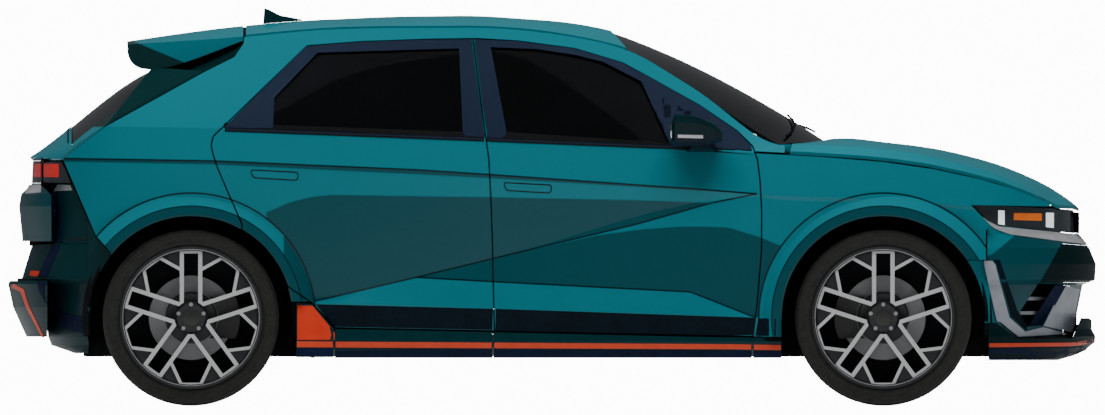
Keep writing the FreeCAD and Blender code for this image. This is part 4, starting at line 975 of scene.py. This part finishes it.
# A thin dark strip along the rear bumper's crease is painted shade
both("corner_crease_shade", [(-2099, 723.5), (-1994, 725.5), (-1994, 720.5), (-2099, 718.5)], ["rear_bumper"],
    BODY, "seal", "dark_paint", lift=0.8)
both("lower_band", [(-2232, 540), (-2198, 540), (-2148, 428), (-2122, 405), (-2013, 384), (-2013, 312),
    (-2128, 337), (-2226, 500)], ["rear_bumper", "rear_diffuser"], BODY, "blue", "dark_paint", lift=3.0,
    step=0.015)
both("reflector", rounded([(-2262, 586), (-2222, 585), (-2229, 561), (-2266, 564)], 4), ["rear_bumper"],
    BODY, "orange", "lamp_plastic", lift=2.0)
both("tail_stripe", [(-2341, 526), (-2330, 527), (-2291, 507), (-2271, 440), (-2202, 298), (-2212, 298),
    (-2281, 430), (-2304, 495), (-2343, 514)], ["rear_bumper", "rear_diffuser"], BODY, "stripe",
    "dark_paint", lift=2.5, step=0.01)

# Rubber seals and plates behind the gaps between panels, as far behind the skin as each gap allows
def seal(name, line, above, below, nodes, depth, material="seal", thick=5):
    both(name, band(line, above, below), nodes, BODY, material, "black_plastic", lift=-depth, thick=thick,
        square=True)


TOP_SEALS = {"rear": [(-1470, 1150), (-1424, 1202), (-1072, 1560), (-832, 1580), (-522, 1590),
    (-345, 1592)], "front": [(-345, 1592), (-152, 1583), (97, 1550), (301, 1489), (430, 1421),
    (640, 1304), (803, 1191), (869, 1120), (876, 1092)]}
for part, line in TOP_SEALS.items():
    for side, side_name in SIDES:
        patch("door_top_seal_" + part + "_" + side_name, band(line, 13, 15), DOOR_SKINS[part, side], side,
            "seal", BODY, "black_plastic", lift=-54, thick=5, square=True)
seal("screen_side_seal", [(700, 1306), (786, 1250), (870, 1192), (960, 1134)], 4, 8,
    ["windscreen", "body_side_{}"], 34)
seal("pillar_foot_seal", [(866, 1097), (1010, 1094), (1046, 1092)], 10, 18, ["front_wing_{}",
    "body_side_{}"], 30)
seal("bonnet_seal", [(1040, 1092), (1325, 1073), (1558, 1047), (1787, 1004), (1980, 952)], 7, 24,
    ["front_wing_{}"], 58)
seal("bonnet_front_seal", [(1970, 954), (2040, 928), (2128, 893)], 3, 20, ["front_wing_{}"], 130)
seal("quarter_foot_seal", [(-2020, 775), (-1994, 761), (-1915, 660)], 10, 10, ["body_side_{}",
    "rear_bumper"], 40)
seal("rear_door_foot_seal", [(-1388, 882), (-1376, 850), (-1352, 797), (-1343, 776)], 12, 12,
    ["body_side_{}"], 104)
seal("diffuser_seal", [(-2320, 546), (-2200, 546), (-2010, 546)], 8, 8, ["rear_bumper", "rear_diffuser"],
    42)
seal("sill_seal", [(-1060, 346), (-257, 328), (770, 306), (986, 300)], 9, 9, ["side_skirts"], 58)
seal("rear_door_corner_seal", [(-1134, 488), (-1104, 481), (-1082, 472), (-1056, 452)], 12, 12,
    ["body_side_{}", "door_rear_{}"], 100)
seal("flag_seal", [(-1112, 451), (-1036, 450)], 12, 12, ["side_skirts", "body_side_{}"], 34)
seal("splitter_seal", [(1898, 364), (1913, 361), (1942, 344), (2008, 295), (2262, 292), (2281, 352)], 9,
    9, ["front_splitter", "bumper_blades"], 44)


CROSS_STEPS = 24


def cross_seal(name, node, x, x0, x1, half_width, body, drop=7):
    """Strip from side to side below the surface of a node, across the gap at its edge."""
    tree = skin_of(node)
    vertices = []
    for i in range(CROSS_STEPS + 1):
        y = half_width * (2 * i / CROSS_STEPS - 1)
        place = tree.ray_cast(Vector((x, y, 3)), Vector((0, 0, -1)))[0]
        if place is None:
            place = tree.find_nearest(Vector((x, y, 1.5)))[0]
        top = place.z - drop * MM
        vertices += [Vector((a, y, b)) for a, b in ((x0, top), (x1, top), (x1, top - 0.01),
            (x0, top - 0.01))]
    faces = [(0, 1, 2, 3), (96, 97, 98, 99)] + ring_faces(CROSS_STEPS + 1, 4)
    mesh_object(name, vertices, faces, "seal", body, smooth=False)


cross_seal("roof_rear_seal", "roof", -1.322, -1.352, -1.318, 0.64, BODY)
cross_seal("rear_glass_foot_seal", "tailgate_glass", -2.078, -2.103, -2.070, 0.60, "tailgate", 9)
cross_seal("rear_glass_top_seal", "tailgate_glass", -1.568, -1.580, -1.540, 0.62, "tailgate", 9)
both("lamp_housing", [(1788, 870), (1880, 880), (2200, 868), (2200, 742), (1990, 752), (1900, 790)],
    ["headlamps", "front_wing_{}", "front_bumper"], BODY, "black", "black_plastic", lift=-84, thick=5,
    square=True)
both("tail_lamp_housing", [(-2216, 1072), (-2100, 1072), (-2088, 1034), (-2104, 950), (-2216, 950)],
    ["tail_lamps"], BODY, "black", "black_plastic", lift=-60, thick=5, square=True)

# The tailgate's opening: a seal that follows its shut line, between the lamps
GATE_LINE = [(-2158, 706), (-2158, 921), (-2203, 966), (-2203, 1080)]
for side, side_name in SIDES:
    outline = band(GATE_LINE, 17, 17)
    for part, shape in (("side", outline), ("foot", [(-2268, 694), (-2146, 694), (-2146, 716),
            (-2268, 716)])):
        prism("gate_seal_" + part + "_" + side_name, shape, side, 262, 292, "seal")

# Lower inner walls of the arches, below the linings
for end, axle in AXLES:
    for side, side_name in SIDES:
        for way, part in ((-1, "back"), (1, "front")):
            shape = [(axle.x * 1000 + way * x, z) for x, z in ((300, 214), (466, 214), (466, 312),
                (300, 312))]
            prism("liner_foot_" + end + "_" + part + "_" + side_name, shape, side, 470, 476, "liner")
for end, axle in AXLES:
    for side, side_name in SIDES:
        lip = []
        for k in range(61):
            angle = math.radians(-10 + 200 * k / 60)
            lip.append(Vector((math.cos(angle), 0, math.sin(angle))))
        vertices = []
        for out in LIP_OUT:
            for radius in LIP_RADII:
                vertices += [Vector((axle.x, side * out, axle.z)) + d * radius for d in lip]
        count = len(lip)
        faces = []
        for a, b in ((0, 1), (1, 3), (3, 2), (2, 0)):
            faces += [(a * count + i, a * count + i + 1, b * count + i + 1, b * count + i)
                for i in range(count - 1)]
        mesh_object("liner_lip_" + end + "_" + side_name, vertices, faces, "liner", BODY)


# Seats: padded covers that swell by cloth simulation, with sewn channels
def block(name, corners, material, body, slot, soft=0.012, segments=3):
    """Six-sided form with rounded edges; corners are four lower and four upper points in millimetres."""
    shape = bmesh.new()
    points = [shape.verts.new(Vector(c) * MM) for c in corners]
    for face in ((0, 1, 2, 3), (4, 5, 6, 7), (0, 1, 5, 4), (1, 2, 6, 5), (2, 3, 7, 6), (3, 0, 4, 7)):
        shape.faces.new([points[i] for i in face])
    bmesh.ops.bevel(shape, geom=shape.edges[:], offset=soft, segments=segments, profile=0.5,
        affect="EDGES")
    data = bpy.data.meshes.new(name)
    shape.to_mesh(data)
    shape.free()
    return placed(name, data, material, body)


def applied(piece):
    """Modifiers turned into the mesh itself."""
    bpy.context.view_layer.update()
    held = bpy.context.evaluated_depsgraph_get()
    data = bpy.data.meshes.new_from_object(piece.evaluated_get(held))
    piece.modifiers.clear()
    piece.data = data


PRESSURE = 4
CLOTH_STEPS = 20


def swollen(piece, voxel, cap):
    """Remesh, blow up by cloth simulation, and hold each point within the cap."""
    piece.modifiers.clear()
    remesh = piece.modifiers.new("remesh", "REMESH")
    remesh.mode = "VOXEL"
    remesh.voxel_size = voxel
    applied(piece)
    rest = [v.co.copy() for v in piece.data.vertices]
    sim = piece.modifiers.new("cloth", "CLOTH")
    sim.settings.use_pressure = True
    sim.settings.uniform_pressure_force = PRESSURE
    sim.settings.effector_weights.gravity = 0
    sim.settings.quality = 4
    for step in range(1, CLOTH_STEPS + 1):
        bpy.context.scene.frame_set(step)
    applied(piece)
    bpy.context.scene.frame_set(1)
    for vertex, start in zip(piece.data.vertices, rest):
        move = vertex.co - start
        if move.length > cap:
            vertex.co = start + move.normalized() * cap


def channelled(piece, lines, depth=0.007, width=0.010):
    """Sewn channels where planes, given as (point, direction), cut the cover."""
    smooth = piece.modifiers.new("smooth", "SUBSURF")
    smooth.levels = 1
    smooth.render_levels = 1
    applied(piece)
    piece.data.update()
    inwards = [v.normal.copy() for v in piece.data.vertices]
    for vertex, normal in zip(piece.data.vertices, inwards):
        away = min(abs((vertex.co - Vector(p) * MM).dot(Vector(d).normalized())) for p, d in lines)
        vertex.co -= normal * depth * math.exp(-(away / width) ** 2)
    piece.data.shade_smooth()


def pad(name, corners, lines, cap=0.018, voxel=0.012, soft=0.03):
    piece = block(name, corners, "seat", BODY, "seat_fabric", soft)
    swollen(piece, voxel, cap)
    channelled(piece, lines)
    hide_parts("seats")


def leaning(foot, top, x_foot, x_top, depth, y0, y1):
    """Back rest between two heights; x_foot and x_top are the places of its rear face."""
    return [(x_foot, y0, foot), (x_foot + depth, y0, foot), (x_foot + depth, y1, foot),
        (x_foot, y1, foot), (x_top, y0, top), (x_top + depth, y0, top), (x_top + depth, y1, top),
        (x_top, y1, top)]


def slab(x0, x1, y0, y1, z0, z1):
    return leaning(z0, z1, x0, x0, x1 - x0, y0, y1)


for y, label in ((-380, "right"), (380, "left")):
    pad("seat_cushion_" + label, slab(-150, 310, y - 232, y + 232, 446, 542), [((x, 0, 0), (1, 0, 0))
        for x in (-40, 60, 160)] + [((0, y - 150, 0), (0, 1, 0)), ((0, y + 150, 0), (0, 1, 0))])
    pad("seat_back_" + label, leaning(560, 1160, -190, -300, 90, y - 222, y + 222),
        [((0, 0, z), (0, 0, 1)) for z in (680, 800, 920, 1040)] + [((0, y - 140, 0), (0, 1, 0)),
        ((0, y + 140, 0), (0, 1, 0))])
    pad("head_rest_" + label, slab(-333, -267, y - 118, y + 118, 1206, 1346),
        [((0, y - 80, 0), (0, 1, 0)), ((0, y + 80, 0), (0, 1, 0))], 0.012)
    base = block("seat_base_" + label, slab(-170, 320, y - 240, y + 240, 328, 438), "black", BODY,
        "seat_fabric", 0.02)
    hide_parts("seats")
pad("bench_cushion", slab(-1062, -578, -582, 582, 580, 682), [((0, y, 0), (0, 1, 0))
    for y in (-400, -200, 200, 400)] + [((x, 0, 0), (1, 0, 0)) for x in (-900, -740)])
pad("bench_back", leaning(712, 1222, -1078, -1260, 80, -426, 426), [((0, y, 0), (0, 1, 0))
    for y in (-150, 150)] + [((0, 0, z), (0, 0, 1)) for z in (850, 1000, 1120)])
bench_base = block("bench_base", slab(-1070, -570, -590, 590, 328, 568), "black", BODY, "seat_fabric",
    0.02)
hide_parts("seats")

# Ends of the cowl, in the body's colour
for side, side_name in SIDES:
    inner, outer = sorted((side * 700, side * 786))
    block("cowl_end_" + side_name, slab(986, 1050, inner, outer, 1082, 1133), "paint", BODY, "teal_paint",
        0.006, 2)

# Head rest posts, the dashboard's screens and vents, and cards on the doors' inner sides
for y, label in ((-380, "right"), (380, "left")):
    for dy in (-55, 55):
        lathe("head_rest_post_" + label + ("_a" if dy < 0 else "_b"), [(0.006, -0.006), (0.006, 0.006)],
            Vector((-0.3, (y + dy) * MM, 1.19)), "steel", BODY, 16)
for y0, y1, label in ((60, 350, "centre"), (352, 640, "driver")):
    block("screen_" + label, slab(668, 684, y0, y1, 1020, 1140), "piano", BODY, "black_plastic", 0.005, 2)
for y in (-640, -330, 20):
    for row in range(4):
        block("vent_slat_" + str(y).replace("-", "m") + "_" + str(row), slab(646, 662, y, y + 150, 905
            + 14 * row, 911 + 14 * row), "dark_metal", BODY, "black_plastic", 0.001, 1)
on_door("door_card", "front", [(-228, 480), (735, 480), (745, 700), (750, 1080), (-262, 1128),
    (-246, 760)], "black", lift=-94, thick=5, square=True)
on_door("door_card", "rear", [(-960, 500), (-350, 490), (-360, 760), (-375, 1120), (-1300, 1160),
    (-1230, 900), (-1080, 700)], "black", lift=-94, thick=5, square=True)

# Bolts on the battery pack's rails
for side, side_name in SIDES:
    for k in range(12):
        place = Vector((-1.04 + k * 0.18, side * 0.66, 0.214))
        vertices = []
        for radius, z in ((0.009, 0.001), (0.009, -0.004), (0.007, -0.006)):
            vertices += [place + Vector((radius * math.cos(a * math.pi / 3),
                radius * math.sin(a * math.pi / 3), z)) for a in range(6)]
        faces = [tuple(range(6)), tuple(range(12, 18))] + ring_faces(3, 6)
        mesh_object("pack_bolt_" + side_name + "_" + str(k), vertices, faces, "steel", BODY,
            smooth=False)


# Floor, backdrop light and camera
def plain_floor():
    shader = Shader("studio_floor")
    tone = shader.drift(0.6, 2.0, 0.0, 1.0)
    shader.colour_from(shader.mixed(tone, (0.72, 0.72, 0.72, 1), (0.76, 0.76, 0.76, 1)))
    shader.set(Roughness=0.7)
    data = bpy.data.meshes.new("studio_floor")
    reach = 30
    data.from_pydata([(-reach, -reach, -0.001), (reach, -reach, -0.001), (reach, reach, -0.001),
        (-reach, reach, -0.001)], [], [(0, 1, 2, 3)])
    data.materials.append(shader.material)
    floor = bpy.data.objects.new("studio_floor", data)
    bpy.context.scene.collection.objects.link(floor)


def soft_light(name, place, target, width, height, power, seen_in_gloss=False):
    lamp = bpy.data.lights.new(name, "AREA")
    lamp.shape = "RECTANGLE"
    lamp.size = width
    lamp.size_y = height
    lamp.energy = power
    holder = bpy.data.objects.new(name, lamp)
    holder.location = place
    holder.rotation_euler = (Vector(target) - Vector(place)).to_track_quat("-Z", "Y").to_euler()
    holder.visible_glossy = seen_in_gloss
    bpy.context.scene.collection.objects.link(holder)


plain_floor()
soft_light("overhead", (0, 0, 9.0), (0, 0, 0), 7, 3, 220)
soft_light("right_side", (0, -5.5, 9.5), (0, -0.5, 0.6), 10, 2.5, 1050)
soft_light("left_side", (0, 5.5, 9.5), (0, 0.5, 0.6), 10, 2.5, 600)
soft_light("front_end", (8, 0, 8), (0, 0, 0.7), 5, 2, 170)
soft_light("rear_end", (-8, 0, 8), (0, 0, 0.7), 5, 2, 150)

BACKDROP_STRENGTH = 14
AMBIENT_STRENGTH = 0.12
world = bpy.data.worlds.new("studio")
bpy.context.scene.world = world
world.use_nodes = True
tree = world.node_tree
tree.nodes.clear()
seen = tree.nodes.new("ShaderNodeBackground")
seen.inputs["Color"].default_value = (0.95, 0.95, 0.95, 1)
seen.inputs["Strength"].default_value = BACKDROP_STRENGTH
around = tree.nodes.new("ShaderNodeBackground")
around.inputs["Color"].default_value = (0.8, 0.85, 0.9, 1)
around.inputs["Strength"].default_value = AMBIENT_STRENGTH
path = tree.nodes.new("ShaderNodeLightPath")
chooser = tree.nodes.new("ShaderNodeMixShader")
ending = tree.nodes.new("ShaderNodeOutputWorld")
tree.links.new(path.outputs["Is Camera Ray"], chooser.inputs[0])
tree.links.new(around.outputs[0], chooser.inputs[1])
tree.links.new(seen.outputs[0], chooser.inputs[2])
tree.links.new(chooser.outputs[0], ending.inputs["Surface"])

# The photograph is a square side view, 1105 by 415 pixels, with 4.335 mm to a pixel and the ground at row 406
PIXEL = 4.335 * MM
PHOTO_WIDTH = 1105
PHOTO_HEIGHT = 415
GROUND_ROW = 406
lens = bpy.data.cameras.new("side_view")
lens.type = "ORTHO"
lens.ortho_scale = PHOTO_WIDTH * PIXEL
lens.clip_end = 100
camera = bpy.data.objects.new("side_view", lens)
camera.location = (0, -12, (GROUND_ROW - PHOTO_HEIGHT / 2) * PIXEL)
camera.rotation_euler = (math.radians(90), 0, 0)
bpy.context.scene.collection.objects.link(camera)
bpy.context.scene.camera = camera
